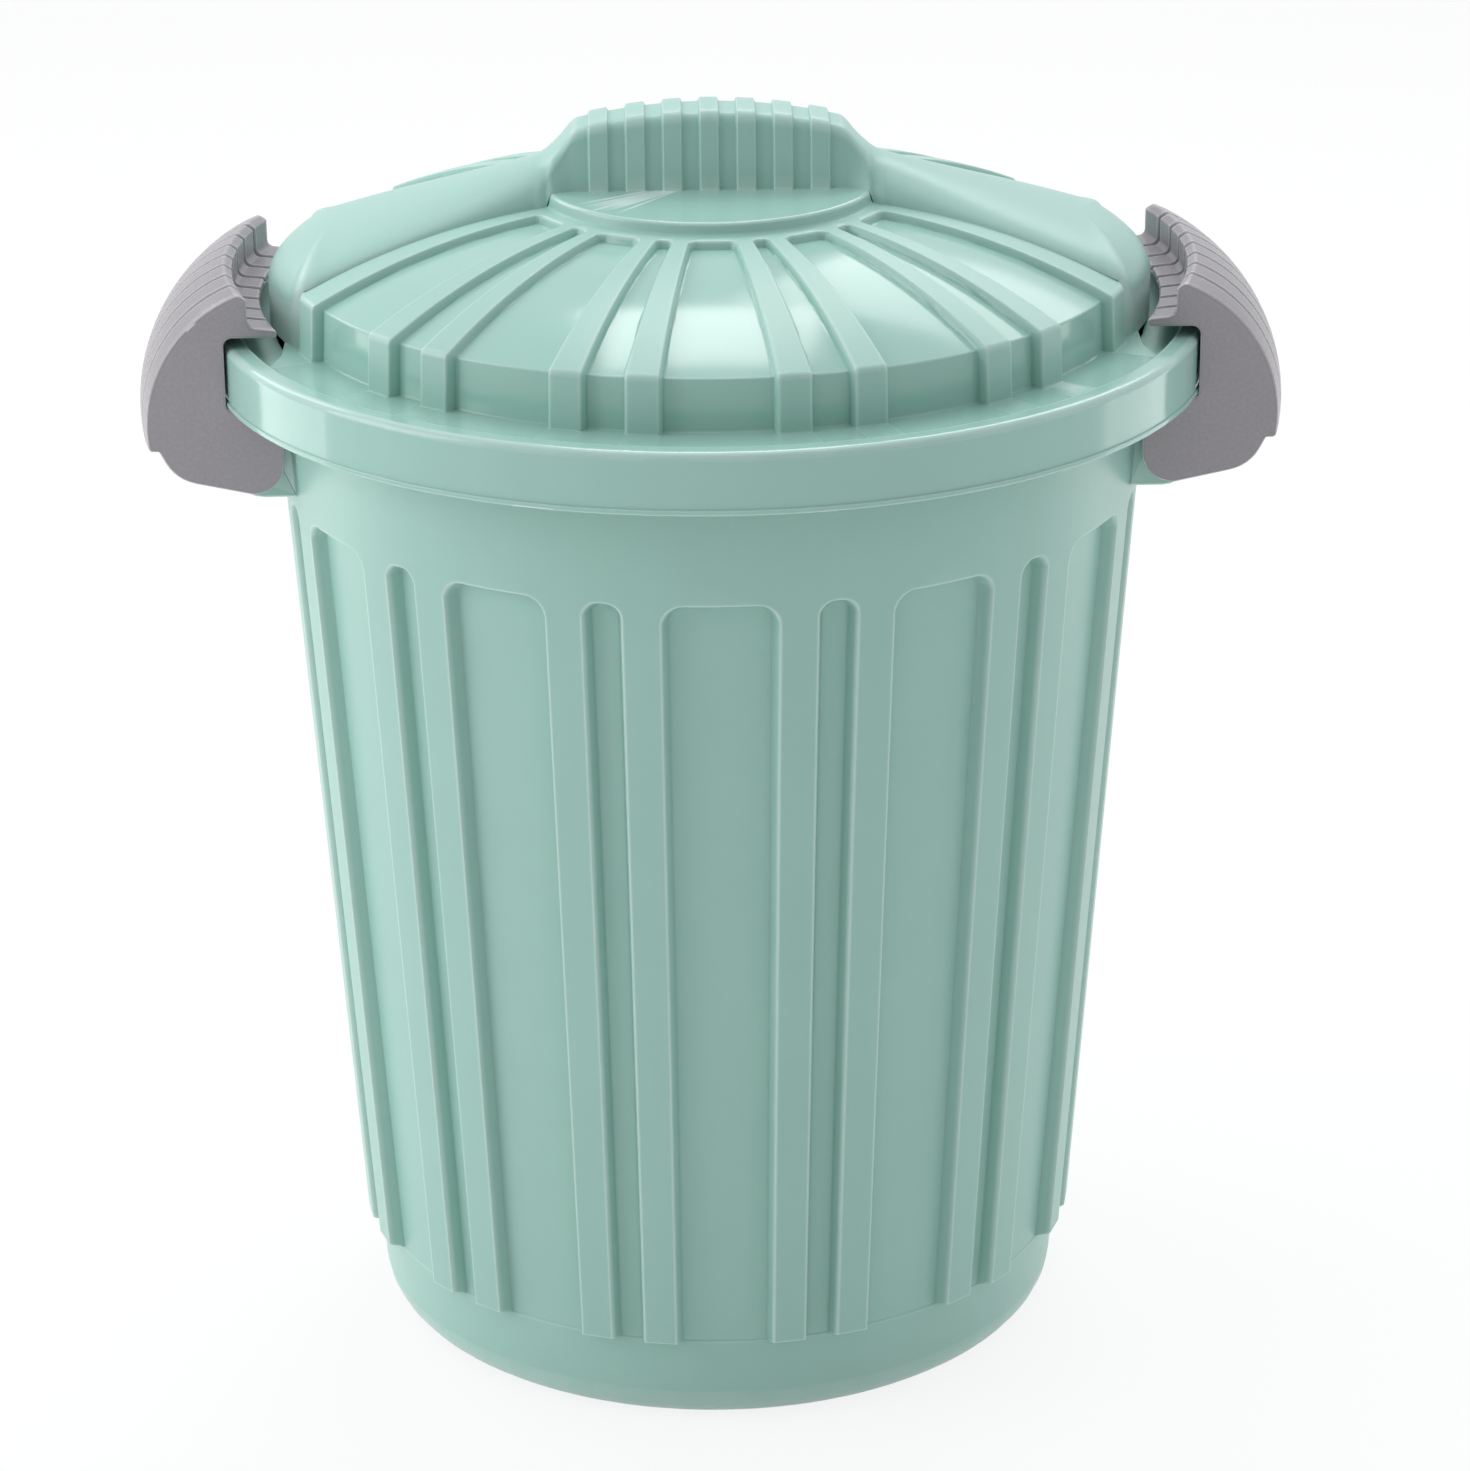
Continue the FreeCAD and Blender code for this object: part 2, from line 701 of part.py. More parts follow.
def build_handle_core(name, mirrored):
    """Space between a handle's cheeks, behind its outer skin and under its jaw."""
    body = new_body(name)
    profile = outline(body, name + "_profile", "XZ_Plane", [
        ("core_inner", "skin_cut"),
        ("skin_inner", "skin_cut"),
        ("skin_inner", "skin_low"),
        ("core_top_radius", "core_top"),
        ("face_back", "core_top"),
        ("face_back", "face_low"),
        ("core_inner", "face_low"),
    ], {2: "-skin_curve"}, mirrored)
    revolve(body, "Revolution", name + "_ring", profile, "handle_angle")
    trim_ends(body, name + "_ends", "core_half")
    return body


def build_handle_slots(name, mirrored):
    """Slots that part a handle's outside into ribs."""
    body = new_body(name)
    profile = outline(body, name + "_profile", "XZ_Plane", [
        ("core_inner", "rind_top"),
        ("core_inner", "rind_jaw_tip"),
        ("jaw_tip_radius", "rind_jaw_tip"),
        ("rind_inner", "rind_jaw_root"),
        ("rind_inner", "rind_crest_inner"),
        ("crest_radius", "rind_crest"),
        ("rind_radius", "skin_low"),
        ("rind_radius", "skin_cut"),
        ("rind_out", "skin_cut"),
        ("rind_out", "rind_top"),
    ], {5: "rind_curve"}, mirrored)
    revolve(body, "Revolution", name + "_ring", profile, "handle_angle")
    ribs = new_sketch(body, name + "_ribs", "XY_Plane")
    last = HANDLE_SIZES["rib_count"] // 2 - 1
    for number in range(last + 1):
        end = "rind_out" if number == last else "rib_end_%d" % number
        for sign in ("", "-"):
            add_outline(ribs, [
                ("-rind_out", sign + "rib_start_%d" % number),
                ("rind_out", sign + "rib_start_%d" % number),
                ("rind_out", sign + end),
                ("-rind_out", sign + end),
            ])
    extrude(body, "Pocket", name + "_slots", ribs)
    return body


def build_handle(name, mirrored):
    """Clip handle: a ribbed skin and a jaw between two cheeks that end at the hinge."""
    body = new_body(name)
    profile = outline(body, name + "_profile", "XZ_Plane", [
        ("jaw_tip_radius", "jaw_under"),
        ("face_radius", "jaw_under"),
        ("face_radius", "skin_low"),
        ("skin_radius", "skin_low"),
        ("crest_radius", "crest"),
        ("crest_inner", "crest_inner_top"),
        ("crest_inner", "jaw_root_top"),
        ("jaw_tip_radius", "jaw_tip_top"),
    ], {3: "-handle_curve"}, mirrored)
    revolve(body, "Revolution", name + "_block", profile, "handle_angle")
    trim_ends(body, name + "_ends", "handle_half")
    cut_with(body, name + "_hollow", build_handle_core(name + "_core", mirrored))
    cut_with(body, name + "_ribbing", build_handle_slots(name + "_slot_tool", mirrored))
    for number, start in enumerate(("Sizes.core_half", "-Sizes.handle_half")):
        cheek = outline(body, "%s_cheek_profile_%d" % (name, number), "XZ_Plane", [
            ("cheek_in", "pivot_height"),
            ("cheek_in", "cheek_shoulder"),
            ("cheek_shoulder_in", "cheek_top"),
            ("cheek_out", "cheek_top"),
            ("cheek_out", "cheek_heel"),
            ("cheek_foot_out", "cheek_foot"),
            ("cheek_bottom_out", "cheek_bottom"),
            ("pivot", "hinge_low"),
        ], {7: "hinge_end"}, mirrored)
        cheek.setExpression("AttachmentOffset.Base.z", start)
        extrude(body, "Pad", "%s_cheek_%d" % (name, number), cheek, "cheek", both_ways=False)
    across = "-pivot" if mirrored else "pivot"
    bore = disc(body, name + "_bore_profile", "XZ_Plane", across, "pivot_height", "bore_radius")
    extrude(body, "Pocket", name + "_bore", bore, "blind_length")
    return body


def build_pin(name, mirrored):
    """Hinge pin that runs through both ears and ends blind in the cheeks."""
    body = new_body(name)
    across = "-pivot" if mirrored else "pivot"
    profile = disc(body, name + "_profile", "XZ_Plane", across, "pivot_height", "pin_radius")
    extrude(body, "Pad", name + "_rod", profile, "pin_length")
    return body


def export(bodies):
    """Check every object of the document, then write each body to its own STEP file."""
    document.recompute()
    for item in document.Objects:
        if "Invalid" in item.State or "Error" in item.State:
            raise RuntimeError("%s: %s" % (item.Name, item.State))
    os.makedirs(OUT_FOLDER, exist_ok=True)
    for name, body in bodies.items():
        shape = body.Shape
        if shape.isNull() or not shape.isValid() or len(shape.Solids) != 1:
            raise RuntimeError("%s is not one valid solid" % name)
        shape.exportStep(os.path.join(OUT_FOLDER, name + ".step"))
        box = shape.BoundBox
        print(name, "volume %.0f" % shape.Volume, "x %.1f %.1f" % (box.XMin, box.XMax),
              "y %.1f %.1f" % (box.YMin, box.YMax), "z %.1f %.1f" % (box.ZMin, box.ZMax))


export({
    "bin": build_bin(),
    "lid": build_lid(),
    "left_handle": build_handle("left_handle", True),
    "right_handle": build_handle("right_handle", False),
    "left_pin": build_pin("left_pin", True),
    "right_pin": build_pin("right_pin", False),
})
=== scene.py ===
"""Looks of a round ribbed household bin with a domed lid and two clip handles.

Every moulding is one mesh worked out from a few profiles, in metres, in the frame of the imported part:
+Z up, handles along X, front towards -Y. Angles about the Z axis are in degrees from +X.
"""
import json
import math

import bmesh
import bpy
import numpy as np
from mathutils import Matrix, Vector


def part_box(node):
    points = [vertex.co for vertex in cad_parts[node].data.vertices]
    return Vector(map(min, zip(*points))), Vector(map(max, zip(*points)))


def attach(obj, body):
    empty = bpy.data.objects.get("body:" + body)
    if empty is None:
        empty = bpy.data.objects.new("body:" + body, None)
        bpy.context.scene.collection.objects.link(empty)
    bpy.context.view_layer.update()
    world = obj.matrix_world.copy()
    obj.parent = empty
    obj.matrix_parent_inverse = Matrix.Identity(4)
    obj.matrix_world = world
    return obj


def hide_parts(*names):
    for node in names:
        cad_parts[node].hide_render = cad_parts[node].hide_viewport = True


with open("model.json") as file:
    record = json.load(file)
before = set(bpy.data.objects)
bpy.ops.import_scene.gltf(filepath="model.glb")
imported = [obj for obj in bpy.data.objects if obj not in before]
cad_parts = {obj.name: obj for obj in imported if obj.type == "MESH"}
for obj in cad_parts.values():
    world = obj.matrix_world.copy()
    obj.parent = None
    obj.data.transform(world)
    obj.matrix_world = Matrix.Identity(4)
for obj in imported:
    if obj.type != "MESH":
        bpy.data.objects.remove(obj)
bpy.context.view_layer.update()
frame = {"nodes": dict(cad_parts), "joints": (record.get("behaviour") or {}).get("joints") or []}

# Main sizes of the frame
TUB_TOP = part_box("bin")[1].z
RIM_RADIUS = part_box("bin")[1].y
BAND_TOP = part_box("lid")[1].z
HANDLE_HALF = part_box("right_handle")[1].y
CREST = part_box("right_handle")[1].z
PIVOT = next(joint["pos_m"] for joint in frame["joints"] if joint["name"] == "right_handle_swing")

# Rim and wall of the bin
RIM_HEIGHT = 0.024
RIM_ROUND = 0.003
BEAD_OUT = 0.0008
BEAD_HEIGHT = 0.0022
RIM_WALL = 0.003
LIP_WIDTH = 0.010
SEAT_DEPTH = 0.0045
LEDGE_WALL = 0.0035
RIM_OVERHANG = 0.0233
WALL = 0.003
WALL_TAPER = 0.0257
FLOOR_WALL = 0.0035
BASE_HEIGHT = 0.0395
BASE_TAPER = 0.0028
BASE_ROUND = 0.016
BASE_STEP = 0.0005
NECK_DROP = 0.006
SMALL_ROUND = 0.0008
PANEL_DROP = 0.0444
PANEL_DEPTH = 0.006
PANEL_CORNER = 0.009
SLOT_CORNER = 0.0066
PANEL_EDGE = 0.0024
RIB_END_EDGE = 0.0018
PITCH = 30.0
WIDE_HALF = 7.55
NARROW_HALF = 2.6

# Lid
LID_GAP = 0.0005
FLANGE = 0.0025
FLANGE_WIDTH = 0.0175
LID_WALL = 0.003
PLUG_DEPTH = 0.0095
SKIRT_LEAN = 0.001
SKIRT_RISE = 0.0225
RIB_ROUND = 0.0028
FLOOR_ROUND = 0.0009
UNDER_ROUND = 0.0045
CROWN_RADIUS = 0.068
CROWN_RISE = 0.0253
DOME_BULGE = 0.0046
MOON_RISE = 0.0047
MOON_LEAN = 0.0012
MOON_ROUND = 0.0018
LID_PANEL_INNER = 0.073
LID_PANEL_DEPTH = 0.0032
SKIRT_PANEL_DEPTH = 0.0046
LID_PANEL_EDGE = 0.0017
LID_WIDE_CORNER = 0.0042
LID_SLOT_CORNER = 0.0028
LID_PITCH = 29.0
LID_WIDE_HALF = 7.56
LID_NARROW_HALF = 3.0
LID_PANELS_EACH_SIDE = 4
NOTCH_GAP = 0.0012

# Bar and grip of the lid
BAR_SPREAD = 18.5
BAR_SLOPE = 0.311
BAR_RISE = 0.0145
BAR_OVERHANG = 0.005
BAR_NOSE = 0.027
BAR_END_WALL = 0.016
BAR_CORNER = 0.009
BAR_SINK = 0.0004
BAR_END_ROOT = 0.0025
GRIP_HALF = 0.054
GRIP_FLARE = 0.016
GRIP_ARCH = 0.0065
GRIP_FOOT_HALF = 0.017
GRIP_TOP_HALF = 0.012
GRIP_ROUND = 0.005
GRIP_BLEND = 0.0022
BAND_RISE = 0.0013
BAND_HALF = 0.00385
BAND_PITCH = 0.01465
BAND_EDGE = 0.0009
BANDS_EACH_SIDE = 3

# Handles and hinge ears
HANDLE_REACH = 0.0303
HANDLE_GAP = 0.0004
HANDLE_SKIN = 0.004
HANDLE_CURVE = 0.0594
SKIN_DROP = 0.0176
FACE_WALL = 0.003
FACE_DROP = 0.0015
JAW_GAP = 0.0045
JAW_REACH = 0.0195
JAW_TIP = 0.0032
JAW_ROOT = 0.0044
CREST_INSET = 0.0057
CREST_WIDTH = 0.0031
CREST_SLOPE = 0.0021
HANDLE_RIBS = 8
GROOVE_DEPTH = 0.0028
JAW_GROOVE_DEPTH = 0.002
GROOVE_HALF = 0.0003
GROOVE_EDGE = 0.0016
SKIN_FLAT_SHARE = 0.15
CHEEK = 0.005
CHEEK_GAP = 0.0007
CHEEK_LIP = 0.007
CHEEK_FOOT_INSET = 0.0117
SKIN_STEP = 0.0015
GAP_ROUND = 0.0034
LOW_GAP_ROUND = 0.0022
CHEEK_ROUND = 0.0008
SKIN_FOOT_ROUND = 0.0015
CREST_ROUND = 0.0018
JAW_ROUND = 0.0012
JAW_ROOT_ROUND = 0.0028
CHEEK_LIP_ROUND = 0.003
HINGE_TOP_ROUND = 0.004
CHEEK_HEEL_ROUND = 0.016
CHEEK_HEEL_SHARE = 0.75
SKIN_STEP_ROUND = 0.0012
HINGE_END = 0.0129
EAR_WALL = 0.006
EAR_GAP = 0.0005
EAR_NOSE = 0.008
EAR_CURVE = 0.0128
EAR_DROP = 0.016
EAR_ROUND = 0.001

# Curves of the bar: powers of its side and its end, and the levels of its hump and of the grip's side
SIDE_POWERS = (2.2, 0.6)
END_POWERS = (2.7, 0.5)
HUMP_SHARES = np.array([
    0, 0.004, 0.012, 0.025, 0.045, 0.07, 0.1, 0.14, 0.19, 0.25, 0.33, 0.42, 0.53, 0.65, 0.82, 1,
])
GRIP_SIDE_SHARES = (0, 0.05, 0.25, 0.5, 0.75, 1)

# Fineness of the meshes: lengths, counts of rows and columns, and shares of the edges that they follow
HOLD = 0.0004
WELD = 0.000001
SHARP_ANGLE = 40.0
ARC_CELLS = 6
SKIN_CELLS = 16
INNER_SKIN_CELLS = 10
HINGE_POINTS = 9
WIDE_COLUMNS = 21
SLOT_COLUMNS = 14
FOOT_ROWS = 17
PLAIN_ROWS = 9
HEAD_ROWS = 27
NECK_ROWS = 5
RIM_BAND_ROWS = 5
DOME_ROWS = 12
DOME_CORNER_ROWS = 20
BAR_LID_COLUMNS = 24
FLARE_COLUMNS = 24
FAN_COLUMNS = 24
BAR_END_POINTS = 9
BAND_STEPS = 9
GRIP_EDGE_POINTS = 9
SIDE_MARGIN_SHARE = 0.6
WIDE_DEPTH_SHARE = 1.1
SLOT_DEPTH_SHARE = 0.9
MIDDLE_SHARES = np.array([-0.45, 0, 0.45])
FOOT_SHARE = 1.6
HEAD_SHARE = 1.3
HEAD_MARGIN_SHARE = 0.3
DOME_START_SHARE = 0.05
DOME_END_SHARE = 0.012
DOME_CORNER_SHARE = 1.6
BAND_STEP_SHARE = 0.7
FLARE_START_SHARE = 0.25
GROOVE_SHARES = np.array([-0.1, 0.1, 0.3, 0.5, 0.75, 1, 1.25, 1.6, 2])
SMOOTH_SHARE = 0.55
HOLD_SHARE = 0.2

# Angles of the lid's columns inside a panel's edge, and beside a notch
LID_EDGE_ANGLES = np.array([
    -0.3, 0, 0.09, 0.18, 0.27, 0.36, 0.45, 0.56, 0.7, 0.86, 1.05, 1.28, 1.6, 2.0, 2.5, 3.1, 4.2, 5.8,
])
NOTCH_STEP = 0.15
NOTCH_MARGIN = 0.01

# Numbers of the corners of the rim's and the lid's profiles at which a finish or a form starts or ends
RIM_FIRST_CORNER = 3
RIM_LAST_CORNER = 7
FLANGE_CORNER = 8
MOON_CORNER = 12

# Colours and finishes, and the painted light: a range of pointiness with the power of the colour that it
# leads to, for a painted highlight on convex edges and painted shade in creases and grooves
GREEN = (0.355, 0.585, 0.515)
GREY = (0.29, 0.262, 0.284)
GREY_SPECKLED = (0.42, 0.38, 0.41)
STEEL = (0.56, 0.57, 0.58)
# Painted highlight that pales convex edges (first), and painted shade that darkens creases and grooves
# (second)
PAINTED_EDGE_HIGHLIGHT = ((0.506, 0.55), 0.3)
PAINTED_CREASE_SHADE = ((0.494, 0.43), 2.2)
CLOUDS = 22.0
SPECKLES = 700.0
SMEARS = 9.0
MOTTLE_DETAIL = 4.0
SMEAR_DETAIL = 3.0
GRAIN_DETAIL = 2.0
GRAIN_HEIGHT = 0.0002
PLASTIC_IOR = 1.5

# Camera
CAMERA_TURN = 1.0
CAMERA_DISTANCE = 1.8506
CAMERA_HEIGHT = 0.9718
CAMERA_YAW = 0.275
CAMERA_PITCH = 21.425
CAMERA_ROLL = -0.393
SENSOR = 36.0
LENS_SHARE = 3.2383

# Stage
FLOOR_HALF = 8.0
FLOOR_SHADE = 0.93
FLOOR_ROUGHNESS = 0.9
FLOOR_SPECULAR = 0.1
FLOOR_WHITE_SHARE = 0.85
SKY_COLOUR = (0.95, 0.98, 1.0)
SKY_FRONT = 0.29
SKY_BACK = 0.9
SKY_RANGE = (-1.0, 0.2)
CAN_MIDDLE = (0, 0, 0.35)
CAN_FOOT = (0, 0, 0.05)

# Soft boxes: name, place, target, width, height and power
LIGHTS = (
    ("left", (-2.2, -0.5, 1.2), CAN_MIDDLE, 1.4, 1.6, 18.0),
    ("right", (2.2, -0.6, 1.2), CAN_MIDDLE, 1.2, 1.6, 0.8),
    ("top", (0.0, 0.0, 2.4), CAN_MIDDLE, 1.2, 1.2, 4.0),
    ("back", (0.0, 1.25, 2.4), CAN_MIDDLE, 0.75, 0.7, 9.0),
    ("back_left", (-1.5, 1.3, 1.7), CAN_MIDDLE, 1.0, 1.0, 8.0),
    ("back_right", (0.75, 1.6, 1.9), CAN_MIDDLE, 1.2, 0.8, 8.0),
    ("low_left", (-0.9, 0.3, 0.15), CAN_FOOT, 0.6, 0.25, 0.8),
    ("low_right", (0.9, 0.3, 0.15), CAN_FOOT, 0.6, 0.25, 0.6),
)

# Heights and radii that follow from those sizes
RIM_LOW = TUB_TOP - RIM_HEIGHT
LEDGE = TUB_TOP - SEAT_DEPTH
LEDGE_UNDER = LEDGE - LEDGE_WALL
WALL_TOP_RADIUS = RIM_RADIUS - RIM_OVERHANG
RIB_FOOT_RADIUS = WALL_TOP_RADIUS - WALL_TAPER
WALL_LEAN = WALL_TAPER / (RIM_LOW - BASE_HEIGHT)
PANEL_TOP = RIM_LOW - PANEL_DROP
FLANGE_TOP = LEDGE + FLANGE
FLANGE_RADIUS = RIM_RADIUS - LIP_WIDTH - LID_GAP
SKIRT_RADIUS = FLANGE_RADIUS - FLANGE_WIDTH
DOME_RADIUS = SKIRT_RADIUS - SKIRT_LEAN
DOME_EDGE = FLANGE_TOP + SKIRT_RISE
CROWN = DOME_EDGE + CROWN_RISE
DOME_LEAN = CROWN_RISE / (DOME_RADIUS - CROWN_RADIUS)
MOON_TOP = CROWN + MOON_RISE
GRIP_FOOT = GRIP_HALF + GRIP_FLARE
GRIP_TOP = BAND_TOP - BAND_RISE
BAR_REACH = SKIRT_RADIUS + BAR_OVERHANG
LID_PANEL_SPAN = LID_PITCH * LID_PANELS_EACH_SIDE / 2 + LID_WIDE_HALF
SKIN_RADIUS = RIM_RADIUS + HANDLE_REACH
SKIN_LOW = RIM_LOW - SKIN_DROP
JAW_UNDER = TUB_TOP + JAW_GAP
JAW_TIP_RADIUS = RIM_RADIUS - JAW_REACH


def unit(vector):
    return vector / np.hypot(*vector)


def soft_step(depth, edge):
    """Soft rise from 0 at no depth to 1 at the depth called edge."""
    share = np.clip(depth / edge, 0, 1)
    return share * share * (3 - 2 * share)


def corner(across, up, rounding=0.0, rows=(), bulge=0.0):
    """Corner of a profile, with the shares at which the side after it gets rows and how far it bulges."""
    if isinstance(rows, int):
        rows = np.arange(1, rows + 1) / (rows + 1)
    return np.array([across, up]), rounding, np.asarray(rows, float), bulge


def corner_arc(before, middle, after, rounding):
    """Points of the arc that rounds one corner."""
    back = unit(before - middle)
    ahead = unit(after - middle)
    half = math.acos(np.clip(back @ ahead, -1, 1)) / 2
    centre = middle + unit(back + ahead) * rounding / math.sin(half)
    reach = rounding / math.tan(half)
    first = middle + back * reach - centre
    last = middle + ahead * reach - centre
    start = math.atan2(first[1], first[0])
    sweep = math.remainder(math.atan2(last[1], last[0]) - start, math.tau)
    turns = start + sweep * np.linspace(0, 1, ARC_CELLS + 1)
    return centre + rounding * np.column_stack([np.cos(turns), np.sin(turns)])


def side_rows(start, end, shares, bulge):
    """Points along a side, held close to both its ends, with its middle pushed to the right of its way."""
    way = end - start
    hold = min(HOLD / np.hypot(*way), HOLD_SHARE)
    shares = np.unique(np.concatenate([[hold], shares, [1 - hold]]))[:, None]
    out = unit(np.array([way[1], -way[0]]))
    return start + shares * way + 4 * bulge * shares * (1 - shares) * out


def rounded(corners, closed=False):
    """Rows of a profile through the corners, and for each row the number of the corner that it follows."""
    count = len(corners)
    arcs = []
    for number, (middle, rounding, _, _) in enumerate(corners):
        at_end = not closed and number in (0, count - 1)
        if rounding and not at_end:
            before = corners[number - 1][0]
            after = corners[(number + 1) % count][0]
            arcs.append(corner_arc(before, middle, after, rounding))
        else:
            arcs.append(middle[None])
    rows = []
    places = []
    for number, (_, _, shares, bulge) in enumerate(corners):
        rows.append(arcs[number])
        if closed or number < count - 1:
            rows.append(side_rows(arcs[number][-1], arcs[(number + 1) % count][0], shares, bulge))
        places.append(np.full(sum(map(len, rows)) - sum(map(len, places)), number))
    return np.concatenate(rows), np.concatenate(places)


def outward(rows):
    """Unit normals to the right of a closed loop's way."""
    way = np.roll(rows, -1, axis=0) - np.roll(rows, 1, axis=0)
    normal = np.column_stack([way[:, 1], -way[:, 0]])
    return normal / np.hypot(normal[:, 0], normal[:, 1])[:, None]


def arc_corners(start, end, radius, cells):
    """Corners along an arc from start to end that bends to the left of its way for a positive radius."""
    chord = end - start
    half_turn = math.asin(np.hypot(*chord) / 2 / radius)
    left = unit(np.array([-chord[1], chord[0]])) * math.copysign(1, radius)
    centre = (start + end) / 2 + left * abs(radius) * math.cos(half_turn)
    first = start - centre
    turns = math.atan2(first[1], first[0]) + 2 * half_turn * np.linspace(0, 1, cells + 1)[1:-1]
    points = centre + abs(radius) * np.column_stack([np.cos(turns), np.sin(turns)])
    return [corner(*point) for point in points]


def grid_faces(rows, columns):
    """Quads of a grid stored row by row and closed across its columns."""
    here = np.arange(rows * columns).reshape(rows, columns)
    after = np.roll(here, -1, axis=1)
    return np.stack([here[:-1], after[:-1], after[1:], here[1:]], axis=-1).reshape(-1, 4).tolist()


def lathe(high, low, sunk, angles):
    """Closed surface of revolution; sunk picks between two profiles that start and end on the axis."""
    turns = np.radians(angles)
    place = high[:, None] + (low - high)[:, None] * sunk[:, :, None]
    ring = place[1:-1]
    grid = np.stack([ring[..., 0] * np.cos(turns), ring[..., 0] * np.sin(turns), ring[..., 1]], axis=-1)
    rows, columns = grid.shape[:2]
    poles = [(0, 0, high[0, 1]), (0, 0, high[-1, 1])]
    points = np.concatenate([grid.reshape(-1, 3), poles])
    faces = grid_faces(rows, columns)
    bottom, top = len(points) - 2, len(points) - 1
    last = (rows - 1) * columns
    for column in range(columns):
        after = (column + 1) % columns
        faces.append([bottom, after, column])
        faces.append([last + column, last + after, top])
    return points, faces


def lathe_finishes(shares):
    """1 for each quad of a lathe that lies mostly where the shares are high, and otherwise 0."""
    ring = shares[1:-1]
    beside = (ring + np.roll(ring, -1, axis=1)) / 2
    return ((beside[:-1] + beside[1:]) / 2 > SMOOTH_SHARE).astype(int).ravel()


def joined(parts):
    """One list of points and one of faces from several."""
    points = []
    faces = []
    base = 0
    for part_points, part_faces in parts:
        points.append(part_points)
        faces.extend([base + index for index in face] for face in part_faces)
        base += len(part_points)
    return np.concatenate(points), faces


def add_piece(name, points, faces, body, node, slot, materials, finishes=()):
    """Mesh object that stands for a CAD node on its body; finishes picks the first faces' materials."""
    mesh = bpy.data.meshes.new(name)
    mesh.from_pydata(points.tolist(), [], faces)
    for material in materials:
        mesh.materials.append(material)
    for face, finish in zip(mesh.polygons, finishes):
        face.material_index = finish
    surface = bmesh.new()
    surface.from_mesh(mesh)
    bmesh.ops.remove_doubles(surface, verts=surface.verts, dist=WELD)
    surface.to_mesh(mesh)
    surface.free()
    mesh.shade_smooth()
    mesh.set_sharp_from_angle(angle=math.radians(SHARP_ANGLE))
    piece = bpy.data.objects.new(name, mesh)
    bpy.context.scene.collection.objects.link(piece)
    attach(piece, body)
    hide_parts(node)
    return piece


def strip_depth(across, along, half, rounding):
    """How deep points lie in a strip whose near end, at along 0, has rounded corners."""
    beside = half - np.abs(across)
    side_gap = np.maximum(rounding - beside, 0)
    end_gap = np.maximum(rounding - along, 0)
    in_corner = (side_gap > 0) & (end_gap > 0)
    return np.where(in_corner, rounding - np.hypot(side_gap, end_gap), np.minimum(beside, along))


def from_middle(angles, first):
    """Angle from the middle of the nearest panel of a row of panels."""
    return (angles - first + PITCH / 2) % PITCH - PITCH / 2


def panel_columns(half, depths, radius):
    """Angles across a panel at these depths inside both of its edges."""
    inner = half - np.degrees(np.asarray(depths) / radius)
    return np.concatenate([-inner, inner])


def panel_sink(panels, radius, along, step):
    """How far panels sink the wall, from 0 to 1; each is angles from its middle, half angle and rounding."""
    turn = np.radians(1.0)
    sunk = np.zeros(np.broadcast(panels[0][0], radius).shape)
    for angles, half, rounding in panels:
        depth = strip_depth(radius * turn * angles, along, radius * turn * half, rounding)
        sunk = np.maximum(sunk, step(depth))
    return sunk


def rib_radius(height):
    return RIB_FOOT_RADIUS + WALL_LEAN * (height - BASE_HEIGHT)


def bin_columns():
    """Angles of the bin's columns, closest together at the panels' edges and rounded corners."""
    radius = rib_radius(PANEL_TOP)
    outer = -SIDE_MARGIN_SHARE * PANEL_EDGE
    wide_depths = np.linspace(outer, PANEL_CORNER * WIDE_DEPTH_SHARE, WIDE_COLUMNS)
    wide = panel_columns(WIDE_HALF, wide_depths, radius)
    slot_half = radius * math.radians(NARROW_HALF)
    slot_depths = np.linspace(outer, slot_half * SLOT_DEPTH_SHARE, SLOT_COLUMNS)
    slot = panel_columns(NARROW_HALF, slot_depths, radius)
    one = np.concatenate([wide, MIDDLE_SHARES * WIDE_HALF, slot + PITCH / 2, [PITCH / 2]])
    return np.sort(np.concatenate([one + turn for turn in np.arange(0, 360, PITCH)]))


def wall_heights():
    """Heights of the rows of the ribbed wall, closest together where panels and ribs end."""
    foot = BASE_HEIGHT + RIB_END_EDGE * np.linspace(-FOOT_SHARE, FOOT_SHARE, FOOT_ROWS)
    head_depth = HEAD_SHARE * PANEL_CORNER
    middle = np.linspace(foot[-1], PANEL_TOP - head_depth, PLAIN_ROWS)[1:-1]
    head = PANEL_TOP - np.linspace(head_depth, -HEAD_MARGIN_SHARE * PANEL_EDGE, HEAD_ROWS)
    neck = np.linspace(head[-1], LEDGE_UNDER - NECK_DROP, NECK_ROWS)[1:]
    return np.concatenate([foot, middle, head, neck])


